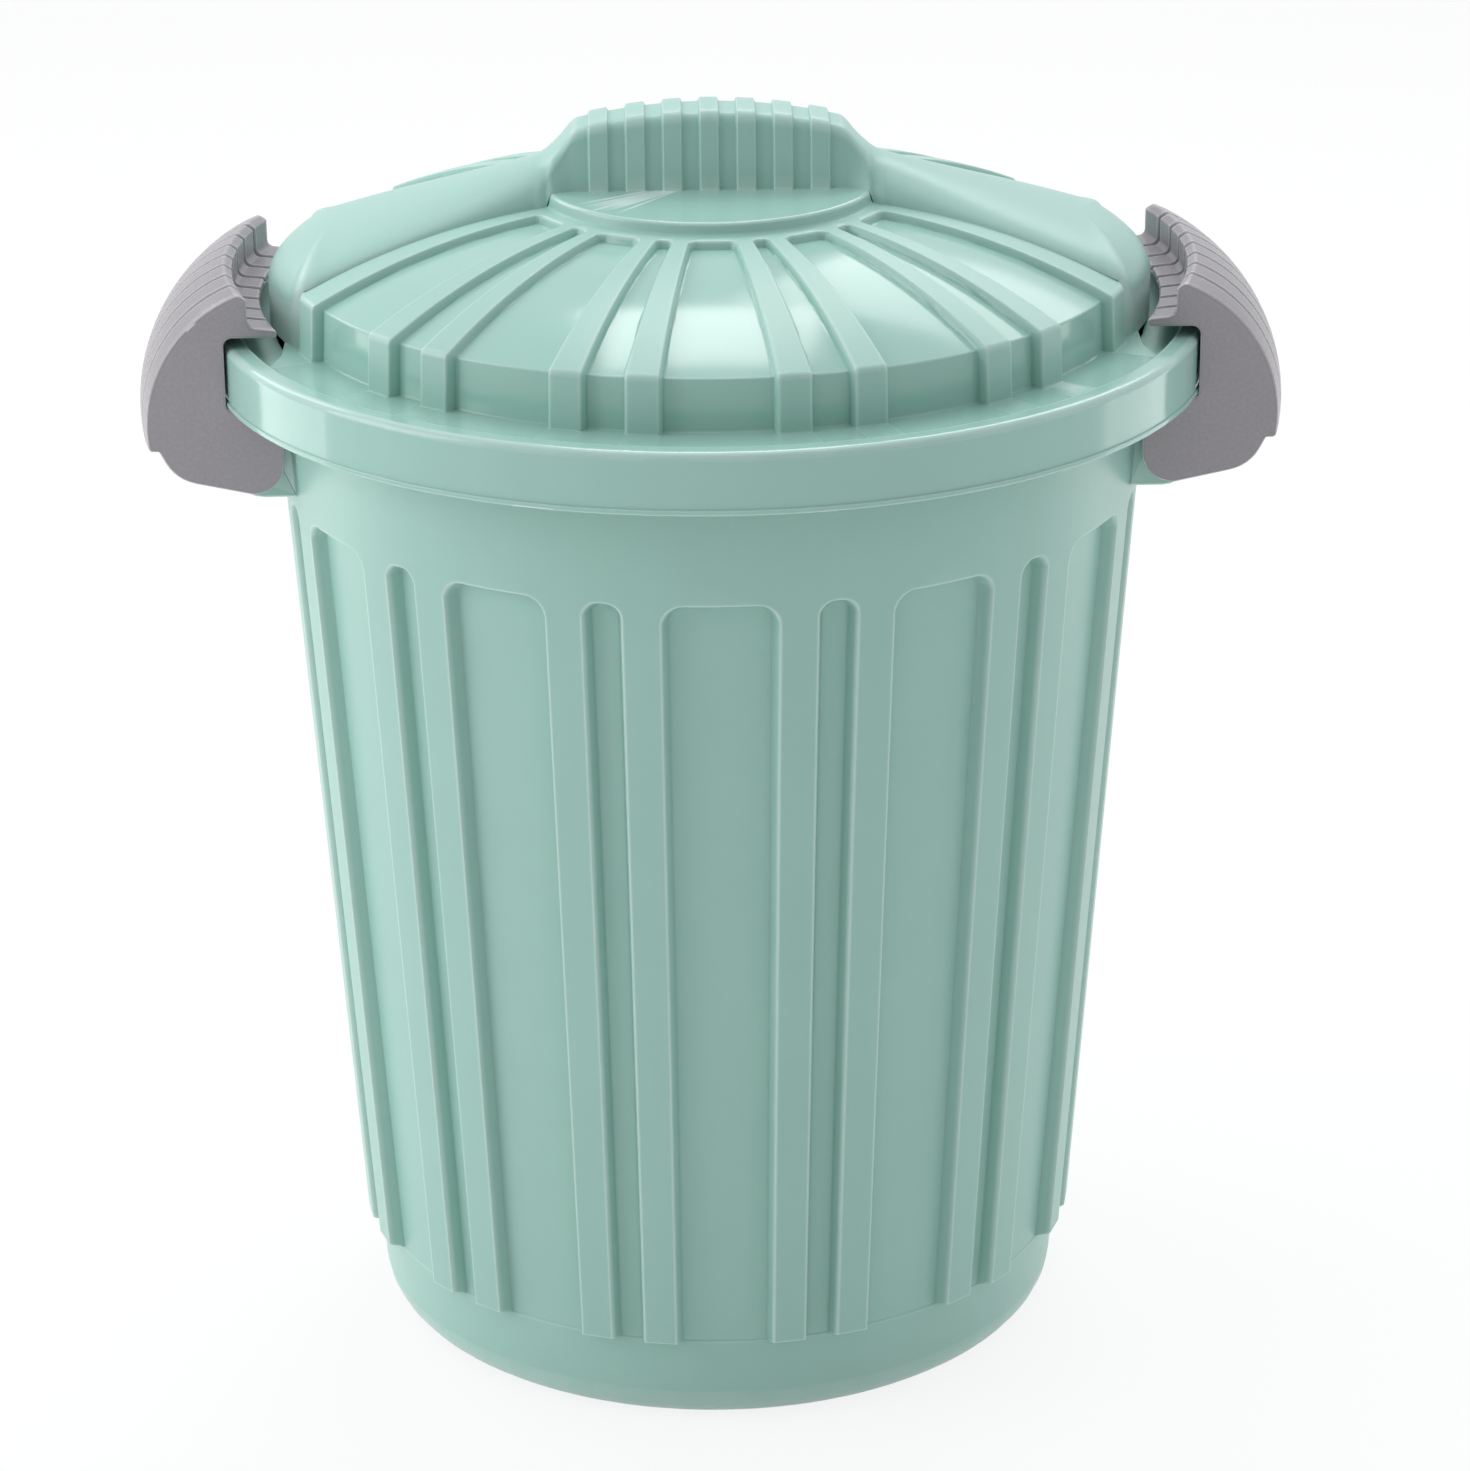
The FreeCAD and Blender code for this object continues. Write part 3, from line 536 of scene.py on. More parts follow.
def bin_shell():
    """Tub with its ribbed wall, polished rim and smooth inside."""
    heights = wall_heights()
    foot_radius = RIB_FOOT_RADIUS - PANEL_DEPTH
    base_radius = foot_radius - BASE_TAPER
    base_top = heights[0] - HOLD
    base_end = foot_radius + BASE_STEP - BASE_TAPER * (BASE_HEIGHT - base_top) / BASE_HEIGHT
    base, _ = rounded([
        corner(0, 0, rows=2),
        corner(base_radius + BASE_STEP, 0, BASE_ROUND),
        corner(base_end, base_top),
    ])
    ribs = np.column_stack([rib_radius(heights), heights])
    floors = ribs.copy()
    floors[:, 0] += BASE_STEP * soft_step(BASE_HEIGHT - heights, RIB_END_EDGE / 2) - PANEL_DEPTH
    band_radius = RIM_RADIUS - BEAD_OUT
    neck_start = heights[-1] + HOLD
    neck = rib_radius(LEDGE_UNDER)
    inner_head = rib_radius(PANEL_TOP) - PANEL_DEPTH - WALL
    rim, rim_places = rounded([
        corner(rib_radius(neck_start), neck_start),
        corner(neck, LEDGE_UNDER, 2 * SMALL_ROUND),
        corner(band_radius - RIM_WALL, LEDGE_UNDER, SMALL_ROUND),
        corner(band_radius - RIM_WALL, RIM_LOW, SMALL_ROUND),
        corner(RIM_RADIUS, RIM_LOW, SMALL_ROUND),
        corner(RIM_RADIUS, RIM_LOW + BEAD_HEIGHT, SMALL_ROUND / 2),
        corner(band_radius, RIM_LOW + BEAD_HEIGHT, SMALL_ROUND / 2, RIM_BAND_ROWS),
        corner(band_radius, TUB_TOP, RIM_ROUND),
        corner(RIM_RADIUS - LIP_WIDTH, TUB_TOP, SMALL_ROUND * 1.5),
        corner(RIM_RADIUS - LIP_WIDTH, LEDGE, SMALL_ROUND),
        corner(neck - WALL, LEDGE, SMALL_ROUND * 1.5),
        corner(neck - WALL, LEDGE_UNDER),
        corner(rib_radius(PANEL_TOP + PANEL_DEPTH) - WALL, PANEL_TOP + PANEL_DEPTH, PANEL_DEPTH),
        corner(inner_head, PANEL_TOP, PANEL_DEPTH, 3),
        corner(foot_radius - WALL, BASE_HEIGHT),
        corner(base_radius - WALL, FLOOR_WALL, BASE_ROUND - WALL, 2),
        corner(0, FLOOR_WALL),
    ])
    angles = bin_columns()
    high = np.concatenate([base, ribs, rim])
    low = np.concatenate([base, floors, rim])
    sunk = np.zeros((len(high), len(angles)))
    rows = slice(len(base), len(base) + len(ribs))
    along = (PANEL_TOP - heights)[:, None]
    radius = ribs[:, :1]
    panels = panel_sink([
        (from_middle(angles, 0.0), WIDE_HALF, PANEL_CORNER),
        (from_middle(angles, PITCH / 2), NARROW_HALF, SLOT_CORNER),
    ], radius, along, lambda depth: soft_step(depth, PANEL_EDGE))
    below_ribs = soft_step(BASE_HEIGHT + RIB_END_EDGE / 2 - heights, RIB_END_EDGE)[:, None]
    sunk[rows] = np.maximum(panels, below_ribs)
    smooth = np.zeros_like(sunk)
    smooth[rows.stop:] = ((rim_places >= RIM_FIRST_CORNER) & (rim_places <= RIM_LAST_CORNER))[:, None]
    return *lathe(high, low, sunk, angles), lathe_finishes(smooth)


def end_stations(half, rounding, inner):
    """Places along a plate from its flat end inwards, with the inset that rounds its edge at each."""
    turns = np.radians(np.linspace(90, 0, ARC_CELLS))
    places = half - rounding + rounding * np.sin(turns)
    insets = rounding * (1 - np.cos(turns))
    places = np.concatenate([[half], places, [inner]])
    insets = np.concatenate([[rounding + HOLD / 2], insets, [0]])
    return places, insets


def prism(outline, low, high, rounding):
    """Plate with rounded edges from an outline in X and Z, between two places along Y."""
    normal = outward(outline)
    middle = (low + high) / 2
    places, insets = end_stations((high - low) / 2, rounding, HOLD)
    places = np.concatenate([middle - places, middle + places[::-1]])
    insets = np.concatenate([insets, insets[::-1]])
    section = outline[None] - normal[None] * insets[:, None, None]
    along = np.repeat(places[:, None], len(outline), axis=1)
    points = np.stack([section[..., 0], along, section[..., 1]], axis=-1).reshape(-1, 3)
    count = len(outline)
    faces = [face[::-1] for face in grid_faces(len(places), count)]
    faces.append(list(range(count)))
    faces.append(list(range(len(points) - count, len(points)))[::-1])
    return points, faces


def ear_plates():
    """Four ears under the rim that hold the hinge pins."""
    half = HANDLE_HALF - CHEEK - EAR_GAP
    nose = PIVOT[0] + EAR_NOSE
    low = PIVOT[2] - EAR_DROP
    low_root, high_root = (
        math.sqrt((rib_radius(height) - WALL / 2) ** 2 - (half - EAR_WALL / 2) ** 2)
        for height in (low, LEDGE_UNDER)
    )
    parts = []
    for side in (1, -1):
        outline, _ = rounded([
            corner(low_root, low, EAR_ROUND),
            corner(nose, low, EAR_CURVE),
            corner(nose, LEDGE_UNDER + LEDGE_WALL / 2, EAR_ROUND),
            corner(high_root, LEDGE_UNDER + LEDGE_WALL / 2, EAR_ROUND),
        ], closed=True)
        if side < 0:
            outline = outline[::-1] * (-1, 1)
        for start in (half - EAR_WALL, -half):
            parts.append(prism(outline, start, start + EAR_WALL, EAR_ROUND))
    return parts


def lid_profiles():
    """Profile of the lid along its ribs and along its sunk panels, and the corner that each row follows."""
    plug = SKIRT_RADIUS - SKIRT_PANEL_DEPTH
    floor_edge_radius = DOME_RADIUS - SKIRT_PANEL_DEPTH
    floor_edge = DOME_EDGE + DOME_LEAN * SKIRT_PANEL_DEPTH - LID_PANEL_DEPTH
    under_edge_radius = floor_edge_radius - LID_WALL
    under_edge = floor_edge - LID_WALL
    under_radius = LID_PANEL_INNER - LID_WALL
    under_crown = CROWN - LID_PANEL_DEPTH - DOME_LEAN * (LID_PANEL_INNER - CROWN_RADIUS) - LID_WALL
    inner_share = (DOME_RADIUS - LID_PANEL_INNER) / (DOME_RADIUS - CROWN_RADIUS)
    corner_share = DOME_CORNER_SHARE * LID_WIDE_CORNER / (DOME_RADIUS - CROWN_RADIUS)
    dome_rows = np.concatenate([
        np.linspace(DOME_START_SHARE, inner_share - corner_share, DOME_ROWS)[:-1],
        np.linspace(inner_share - corner_share, inner_share + DOME_END_SHARE, DOME_CORNER_ROWS),
    ])
    profiles = []
    for skirt, edge_radius, edge, crown, edge_round in (
        (SKIRT_RADIUS, DOME_RADIUS, DOME_EDGE, CROWN, RIB_ROUND),
        (plug, floor_edge_radius, floor_edge, CROWN - LID_PANEL_DEPTH, FLOOR_ROUND),
    ):
        rows, places = rounded([
            corner(0, under_crown),
            corner(under_radius, under_crown, UNDER_ROUND, 4, -DOME_BULGE),
            corner(under_edge_radius, under_edge, UNDER_ROUND),
            corner(plug - LID_WALL, LEDGE),
            corner(plug - LID_WALL, LEDGE - PLUG_DEPTH, SMALL_ROUND),
            corner(plug, LEDGE - PLUG_DEPTH, SMALL_ROUND),
            corner(plug, LEDGE, SMALL_ROUND),
            corner(FLANGE_RADIUS, LEDGE, SMALL_ROUND),
            corner(FLANGE_RADIUS, FLANGE_TOP, SMALL_ROUND),
            corner(skirt, FLANGE_TOP, SMALL_ROUND, 1),
            corner(edge_radius, edge, edge_round, dome_rows, DOME_BULGE),
            corner(CROWN_RADIUS, crown, MOON_ROUND),
            corner(CROWN_RADIUS - MOON_LEAN, MOON_TOP, MOON_ROUND, 1),
            corner(0, MOON_TOP),
        ])
        profiles.append(rows)
    return profiles[0], profiles[1], places


def lid_panels():
    """Middle, half angle and corner rounding of the lid's panels on one side of the bar."""
    panels = []
    for number in range(-LID_PANELS_EACH_SIDE, LID_PANELS_EACH_SIDE + 1):
        middle = number * LID_PITCH / 2
        if number % 2:
            panels.append((middle, LID_NARROW_HALF, LID_SLOT_CORNER))
        else:
            panels.append((middle, LID_WIDE_HALF, LID_WIDE_CORNER))
    return panels


def lid_columns():
    """Angles of the lid's columns, closest together at the panels' edges and the notches under the jaws."""
    angles = [np.linspace(LID_PANEL_SPAN, 180 - LID_PANEL_SPAN, BAR_LID_COLUMNS) - 90]
    for middle, half, _ in lid_panels():
        inner = half - LID_EDGE_ANGLES[LID_EDGE_ANGLES < half]
        angles.extend([middle + inner, middle - inner, [middle]])
    edge = 90 - notch_half_angle()
    angles.append([-edge, -edge - NOTCH_STEP, edge, edge + NOTCH_STEP])
    front = np.concatenate(angles)
    return np.unique(np.concatenate([front + 90, front + 270]).round(6) % 360)


def from_bar(angles):
    """Angle from the nearer end of the bar."""
    return (angles + 90) % 180 - 90


def notch_half_angle():
    return math.degrees(math.asin((HANDLE_HALF + NOTCH_GAP) / (JAW_TIP_RADIUS - NOTCH_GAP)))


def lid_step(depth):
    """How far the lid's wall is sunk, from 0 to 1, at a depth inside a panel's edge."""
    return np.clip(depth / LID_PANEL_EDGE, 0, 1) ** 2


def lid_shell():
    """Dome with its sunk panels, skirt, flange and plug."""
    high, low, places = lid_profiles()
    angles = lid_columns()
    on_top = (places >= FLANGE_CORNER)[:, None]
    radius = high[:, :1]
    along = radius - LID_PANEL_INNER
    from_side = angles % 180 - 90
    panels = [(from_side - middle, half, rounding) for middle, half, rounding in lid_panels()]
    sunk = on_top * panel_sink(panels, radius, along, lid_step)
    points, faces = lathe(high, low, sunk, angles)
    finishes = lathe_finishes(np.maximum(sunk, (places >= MOON_CORNER)[:, None]))
    reach = np.hypot(points[:, 0], points[:, 1])
    notch_radius = JAW_TIP_RADIUS - NOTCH_GAP
    notch_start = SKIRT_RADIUS + 2 * SMALL_ROUND
    turn = np.degrees(np.arctan2(points[:, 1], points[:, 0]))
    in_notch = (np.abs(from_bar(turn)) < notch_half_angle() + NOTCH_MARGIN) & (reach > notch_start)
    shrink = (notch_radius - notch_start) / (FLANGE_RADIUS - notch_start)
    wanted = notch_start + (reach - notch_start) * shrink
    share = np.where(in_notch, wanted / np.maximum(reach, HOLD), 1.0)
    points[:, :2] *= share[:, None]
    return points, faces, finishes, high[places >= FLANGE_CORNER]


def bar_top(across):
    """Height of the bar's ridge along X, with the grip's flared ends and arched top."""
    line = CROWN + BAR_RISE - BAR_SLOPE * (across - GRIP_FOOT)
    end_top = GRIP_TOP - GRIP_ARCH
    rise = end_top - (CROWN + BAR_RISE + BAR_SLOPE * GRIP_FLARE)
    flare = line + rise * np.maximum((GRIP_FOOT - across) / GRIP_FLARE, 0) ** 2
    arch = end_top + GRIP_ARCH * (1 - (np.minimum(across, GRIP_FOOT) / GRIP_HALF) ** 2)
    share = np.clip(0.5 + 0.5 * (flare - arch) / GRIP_BLEND, 0, 1)
    return flare * (1 - share) + arch * share - GRIP_BLEND * share * (1 - share)


def band_share(across):
    """1 on the raised bands of the grip and 0 between them."""
    share = np.zeros_like(across)
    for number in range(-BANDS_EACH_SIDE, BANDS_EACH_SIDE + 1):
        depth = BAND_HALF + BAND_EDGE / 2 - np.abs(across - number * BAND_PITCH)
        share = np.maximum(share, soft_step(depth, BAND_EDGE))
    return share


def bar_outline():
    """Foot of one half of the bar in plan, from the lid's middle to the bar's tip."""
    steps = BAND_EDGE * np.linspace(-BAND_STEP_SHARE, BAND_STEP_SHARE, BAND_STEPS)
    edges = [
        number * BAND_PITCH + side * BAND_HALF + steps
        for number in range(BANDS_EACH_SIDE + 1)
        for side in (1, -1)
    ]
    flare = np.linspace(GRIP_HALF - FLARE_START_SHARE * GRIP_FLARE, GRIP_FOOT, FLARE_COLUMNS)
    along = np.unique(np.concatenate([[0], flare, *edges]).round(5))
    along = along[along >= 0]
    spread = math.radians(BAR_SPREAD)
    foot_half = GRIP_FOOT * math.tan(spread)
    half = foot_half + (GRIP_FOOT_HALF - foot_half) * soft_step(GRIP_FOOT - along, GRIP_FLARE)
    end_shares = np.linspace(1, 0, BAR_END_POINTS)
    end_turns = spread * end_shares
    end_reach = BAR_REACH - (BAR_OVERHANG + BAR_SINK) * end_shares ** 2
    end = np.column_stack([end_reach * np.cos(end_turns), end_reach * np.sin(end_turns)])
    fan, _ = rounded([
        corner(GRIP_FOOT, foot_half, rows=FAN_COLUMNS),
        corner(*end[0], BAR_CORNER),
        *[corner(*point) for point in end[2:]],
    ])
    return np.concatenate([np.column_stack([along, half]), fan[1:]])


def bar_hump(outline, foot):
    """Levels of the plain bar from foot to ridge: a broad hump with a short steep side and a blunt end."""
    spine = np.minimum(outline[:, 0], BAR_REACH - BAR_NOSE)
    to_end = soft_step(outline[:, 0] - spine, BAR_NOSE / 2)
    power = SIDE_POWERS[0] + (END_POWERS[0] - SIDE_POWERS[0]) * to_end
    root = SIDE_POWERS[1] + (END_POWERS[1] - SIDE_POWERS[1]) * to_end
    low = np.maximum(foot, FLANGE_TOP + BAR_END_WALL)
    levels = []
    for share in 1 - HUMP_SHARES:
        along = spine + share * (outline[:, 0] - spine)
        height = low + (bar_top(along) - low) * (1 - share ** power) ** root
        levels.append(np.column_stack([along, share * outline[:, 1], height]))
    return np.array(levels)


def grip_levels(outline, foot):
    """Levels of the grip from its foot up a leaning side and over a rounded edge to its middle."""
    along = outline[:, 0]
    raised = BAND_RISE * band_share(along)
    top = bar_top(along) + raised
    shoulder = top - GRIP_ROUND
    lean = (outline[:, 1] - GRIP_TOP_HALF) / np.maximum(top - foot, GRIP_ROUND)
    levels = []
    for share in GRIP_SIDE_SHARES:
        height = foot + (shoulder - foot) * share
        levels.append(np.column_stack([along, outline[:, 1] + raised - lean * (height - foot), height]))
    edge = levels[-1][:, 1]
    for turn in np.radians(np.linspace(0, 90, GRIP_EDGE_POINTS)[1:]):
        depth = edge - GRIP_ROUND * (1 - math.cos(turn))
        levels.append(np.column_stack([along, depth, shoulder + GRIP_ROUND * math.sin(turn)]))
    for share in (0.5, 0):
        levels.append(np.column_stack([along, share * (edge - GRIP_ROUND), top]))
    return np.array(levels)


def lid_bar(top_rows):
    """Cross bar that widens outwards, with the banded grip in its middle."""
    order = np.argsort(top_rows[:, 0])
    outline = bar_outline()
    reach = np.hypot(outline[:, 0], outline[:, 1])
    foot = np.interp(reach, top_rows[order, 0], top_rows[order, 1])
    in_grip = soft_step(GRIP_FOOT - outline[:, 0], GRIP_FLARE)[:, None]
    hump = bar_hump(outline, foot)
    rings = hump + (grip_levels(outline, foot) - hump) * in_grip
    in_skirt = reach > SKIRT_RADIUS - BAR_END_ROOT
    root = np.column_stack([outline, np.where(in_skirt, FLANGE_TOP, foot) - BAR_SINK])
    rings = np.concatenate([root[None], rings])
    rings = np.concatenate([(rings * (-1, 1, 1))[:, :0:-1], rings], axis=1)
    grid = np.concatenate([rings * (1, -1, 1), rings[:, ::-1]], axis=1)
    levels, columns = grid.shape[:2]
    faces = grid_faces(levels, columns)
    for number in range(columns // 2 - 1):
        faces.append([columns - 1 - number, columns - 2 - number, number + 1, number])
    return grid.reshape(-1, 3), faces


def handle_rows():
    """Corners of a handle's outside, of its inside between the cheeks, and of the rest of a cheek."""
    face = RIM_RADIUS + HANDLE_GAP
    crest_radius = RIM_RADIUS - CREST_INSET
    crest_inner = crest_radius - CREST_WIDTH
    skin_foot = np.array([SKIN_RADIUS, SKIN_LOW])
    crest = np.array([crest_radius, CREST])
    outside = [
        corner(*skin_foot, SKIN_FOOT_ROUND),
        *arc_corners(skin_foot, crest, HANDLE_CURVE, SKIN_CELLS),
        corner(*crest, CREST_ROUND),
        corner(crest_inner, CREST - CREST_SLOPE, JAW_ROUND, 1),
        corner(crest_inner, JAW_UNDER + JAW_ROOT, JAW_ROOT_ROUND, 1),
        corner(JAW_TIP_RADIUS, JAW_UNDER + JAW_TIP, JAW_ROUND),
        corner(JAW_TIP_RADIUS, JAW_UNDER, JAW_ROUND, 2),
        corner(face, JAW_UNDER, GAP_ROUND),
    ]
    inner_foot = np.array([SKIN_RADIUS - HANDLE_SKIN, SKIN_LOW])
    core_top = JAW_UNDER - FACE_WALL
    face_back = face + FACE_WALL
    core_end = np.array([face_back + 2 * HANDLE_SKIN, core_top])
    inside = [
        corner(face, RIM_LOW + FACE_DROP, SMALL_ROUND),
        corner(face_back, RIM_LOW + FACE_DROP, SMALL_ROUND),
        corner(face_back, core_top, SMALL_ROUND),
        corner(*core_end, SMALL_ROUND),
        *arc_corners(core_end, inner_foot, -(HANDLE_CURVE - HANDLE_SKIN), INNER_SKIN_CELLS),
        corner(*inner_foot, SMALL_ROUND),
    ]
    cheek_middle = HANDLE_HALF - CHEEK / 2
    cheek_out = math.sqrt(SKIN_RADIUS ** 2 - HANDLE_HALF ** 2) - HANDLE_SKIN
    cheek_in = PIVOT[0] - HINGE_END
    hinge_turns = np.radians(np.linspace(180, 270, HINGE_POINTS))
    hinge_across = PIVOT[0] + HINGE_END * np.cos(hinge_turns)
    hinge_up = PIVOT[2] + HINGE_END * np.sin(hinge_turns)
    lobe = [
        (cheek_in, PIVOT[2] + HINGE_END + CHEEK_LIP / 2, HINGE_TOP_ROUND),
        *[(across, up, 0) for across, up in zip(hinge_across, hinge_up)],
        (cheek_out - CHEEK_HEEL_SHARE * CHEEK_LIP, SKIN_LOW - CHEEK_FOOT_INSET, CHEEK_HEEL_ROUND),
        (cheek_out, SKIN_LOW - SKIN_STEP, SKIN_STEP_ROUND),
        (cheek_out + SKIN_STEP / 2, SKIN_LOW, SMALL_ROUND),
    ]
    cheek = [
        corner(face, RIM_LOW - CHEEK_GAP, LOW_GAP_ROUND),
        corner(math.hypot(PIVOT[0] - CHEEK_LIP, cheek_middle), RIM_LOW - CHEEK_GAP, CHEEK_LIP_ROUND),
        *[corner(math.hypot(across, cheek_middle), up, rounding) for across, up, rounding in lobe],
    ]
    return outside, inside, cheek


def groove_share(along):
    """1 in the grooves between a handle's ribs and 0 on the ribs."""
    rib = 2 * HANDLE_HALF / HANDLE_RIBS
    gap = np.abs((along + rib / 2) % rib - rib / 2)
    near_end = np.abs(along) > HANDLE_HALF - rib / 2
    share = np.clip((GROOVE_HALF + GROOVE_EDGE - gap) / GROOVE_EDGE, 0, 1)
    return np.where(near_end, 0, 1 - (1 - share) ** 2)


def handle_stations():
    """Places along a handle's width between its cheeks, closest together at the grooves."""
    rib = 2 * HANDLE_HALF / HANDLE_RIBS
    steps = GROOVE_HALF + GROOVE_EDGE * GROOVE_SHARES
    steps = np.concatenate([-steps[::-1], [0], steps])
    half_count = HANDLE_RIBS // 2
    grooves = np.concatenate([number * rib + steps for number in range(1 - half_count, half_count)])
    inner = HANDLE_HALF - CHEEK
    ribs = (np.arange(HANDLE_RIBS) + 0.5) * rib - HANDLE_HALF
    ribs = ribs[np.abs(ribs) < inner]
    return np.unique(np.concatenate([[-inner, inner], ribs, grooves]).round(6))


def handle_mesh(mirrored):
    """Clip handle: a ribbed skin with a jaw, between two flat cheeks that reach down to the hinge."""
    outside, inside, cheek = handle_rows()
    middle_loop, middle_places = rounded(outside + inside, closed=True)
    cheek_loop, _ = rounded(outside + cheek, closed=True)
    shared = int(np.searchsorted(middle_places, len(outside) - 1)) + ARC_CELLS + 1
    depth = np.where(middle_places < len(outside) - 5, GROOVE_DEPTH, JAW_GROOVE_DEPTH)
    depth[middle_places >= len(outside) - 2] = 0
    depth[shared:] = 0

    def section(loop, along, inset):
        moved = loop - outward(loop) * np.reshape(inset, (-1, 1))
        across = np.sqrt(moved[:, 0] ** 2 - along ** 2)
        end = np.sqrt(moved[:, 0] ** 2 - HANDLE_HALF ** 2)
        flatness = SKIN_FLAT_SHARE * soft_step(moved[:, 0] - RIM_RADIUS, HANDLE_REACH)
        return np.column_stack([across + (end - across) * flatness, np.full(len(loop), along), moved[:, 1]])

    def band(sections):
        """Points of a row of sections and the quads between them."""
        count = len(sections[0])
        return np.concatenate(sections), [face[::-1] for face in grid_faces(len(sections), count)]

    places = handle_stations()
    shares = groove_share(places)
    middle = [section(middle_loop, place, depth * share) for place, share in zip(places, shares)]
    parts = [band(middle)]
    ends, insets = end_stations(HANDLE_HALF, CHEEK_ROUND, HANDLE_HALF - CHEEK)
    count = len(cheek_loop)
    for side in (-1, 1):
        sections = [section(cheek_loop, side * place, inset) for place, inset in zip(ends, insets)]
        if side > 0:
            sections.reverse()
        points, faces = band(sections)
        cap = list(range(count))
        if side > 0:
            cap = [len(points) - count + index for index in cap[::-1]]
        faces.append(cap)
        parts.append((points, faces))
    points, faces = joined(parts)
    start = len(middle_loop) * len(places)
    cheek_points = count * len(ends)
    first_inner = start + cheek_points - count
    last_inner = start + cheek_points
    for side, middle_base, cheek_base in ((-1, 0, first_inner), (1, start - len(middle_loop), last_inner)):
        loop = [middle_base + index for index in range(shared - 1, len(middle_loop))] + [middle_base]
        back = [cheek_base + index for index in range(count - 1, shared - 1, -1)]
        web = loop + back
        faces.append(web if side < 0 else web[::-1])
    if mirrored:
        points = points * (-1, 1, 1)
        faces = [face[::-1] for face in faces]
    return points, faces


def noise_node(nodes, links, place, scale, detail):
    """Noise over the object's own coordinates."""
    noise = nodes.new("ShaderNodeTexNoise")
    noise.inputs["Scale"].default_value = scale
    noise.inputs["Detail"].default_value = detail
    links.new(place.outputs["Object"], noise.inputs["Vector"])
    return noise


def painted_light_mix(nodes, links, colour, limits, share, power):
    """Painted light: mix towards a power of the colour by how far the shape's pointiness lies between the
    limits, a paler power for a painted highlight on edges and a darker one for painted shade in creases.
    """
    shape = nodes.new("ShaderNodeNewGeometry")
    amount = nodes.new("ShaderNodeMapRange")
    amount.inputs["From Min"].default_value = limits[0]
    amount.inputs["From Max"].default_value = limits[1]
    amount.inputs["To Max"].default_value = share
    links.new(shape.outputs["Pointiness"], amount.inputs["Value"])
    mix = nodes.new("ShaderNodeMix")
    mix.data_type = "RGBA"
    mix.inputs["B"].default_value = (*[part ** power for part in colour], 1)
    links.new(amount.outputs["Result"], mix.inputs["Factor"])
    return mix


def plastic(name, colour, mottle_scale, tone, roughness, grain, grain_scale, painted_light_shares=()):
    """Moulded plastic with a mottle, a painted highlight on its edges, painted shade in its creases, uneven
    gloss and a fine moulded grain.
    """
    material = bpy.data.materials.new(name)
    material.use_nodes = True
    nodes = material.node_tree.nodes
    links = material.node_tree.links
    shader = nodes["Principled BSDF"]
    place = nodes.new("ShaderNodeTexCoord")
    mottle = noise_node(nodes, links, place, mottle_scale, MOTTLE_DETAIL)
    colours = nodes.new("ShaderNodeMix")
    colours.data_type = "RGBA"
    colours.inputs["A"].default_value = (*colour, 1)
    colours.inputs["B"].default_value = (*[part * tone for part in colour], 1)
    links.new(mottle.outputs["Fac"], colours.inputs["Factor"])
    # Painted highlight on the edges, then painted shade in the creases, both from pointiness
    for share, (limits, power) in zip(painted_light_shares, (PAINTED_EDGE_HIGHLIGHT, PAINTED_CREASE_SHADE)):
        painted_light = painted_light_mix(nodes, links, colour, limits, share, power)
        links.new(colours.outputs["Result"], painted_light.inputs["A"])
        colours = painted_light
    links.new(colours.outputs["Result"], shader.inputs["Base Color"])
    gloss = nodes.new("ShaderNodeMapRange")
    gloss.inputs["To Min"].default_value = roughness[0]
    gloss.inputs["To Max"].default_value = roughness[1]
    smear = noise_node(nodes, links, place, SMEARS, SMEAR_DETAIL)
    links.new(smear.outputs["Fac"], gloss.inputs["Value"])
    links.new(gloss.outputs["Result"], shader.inputs["Roughness"])
    fine = noise_node(nodes, links, place, grain_scale, GRAIN_DETAIL)
    bump = nodes.new("ShaderNodeBump")
    bump.inputs["Strength"].default_value = grain
    bump.inputs["Distance"].default_value = GRAIN_HEIGHT
    links.new(fine.outputs["Fac"], bump.inputs["Height"])
    links.new(bump.outputs["Normal"], shader.inputs["Normal"])
    shader.inputs["IOR"].default_value = PLASTIC_IOR
    return material


def steel(name):
    """Drawn steel rod with uneven gloss."""
    material = plastic(name, STEEL, CLOUDS, tone=0.9, roughness=(0.25, 0.4), grain=0.1, grain_scale=900.0)
    material.node_tree.nodes["Principled BSDF"].inputs["Metallic"].default_value = 1.0
    return material


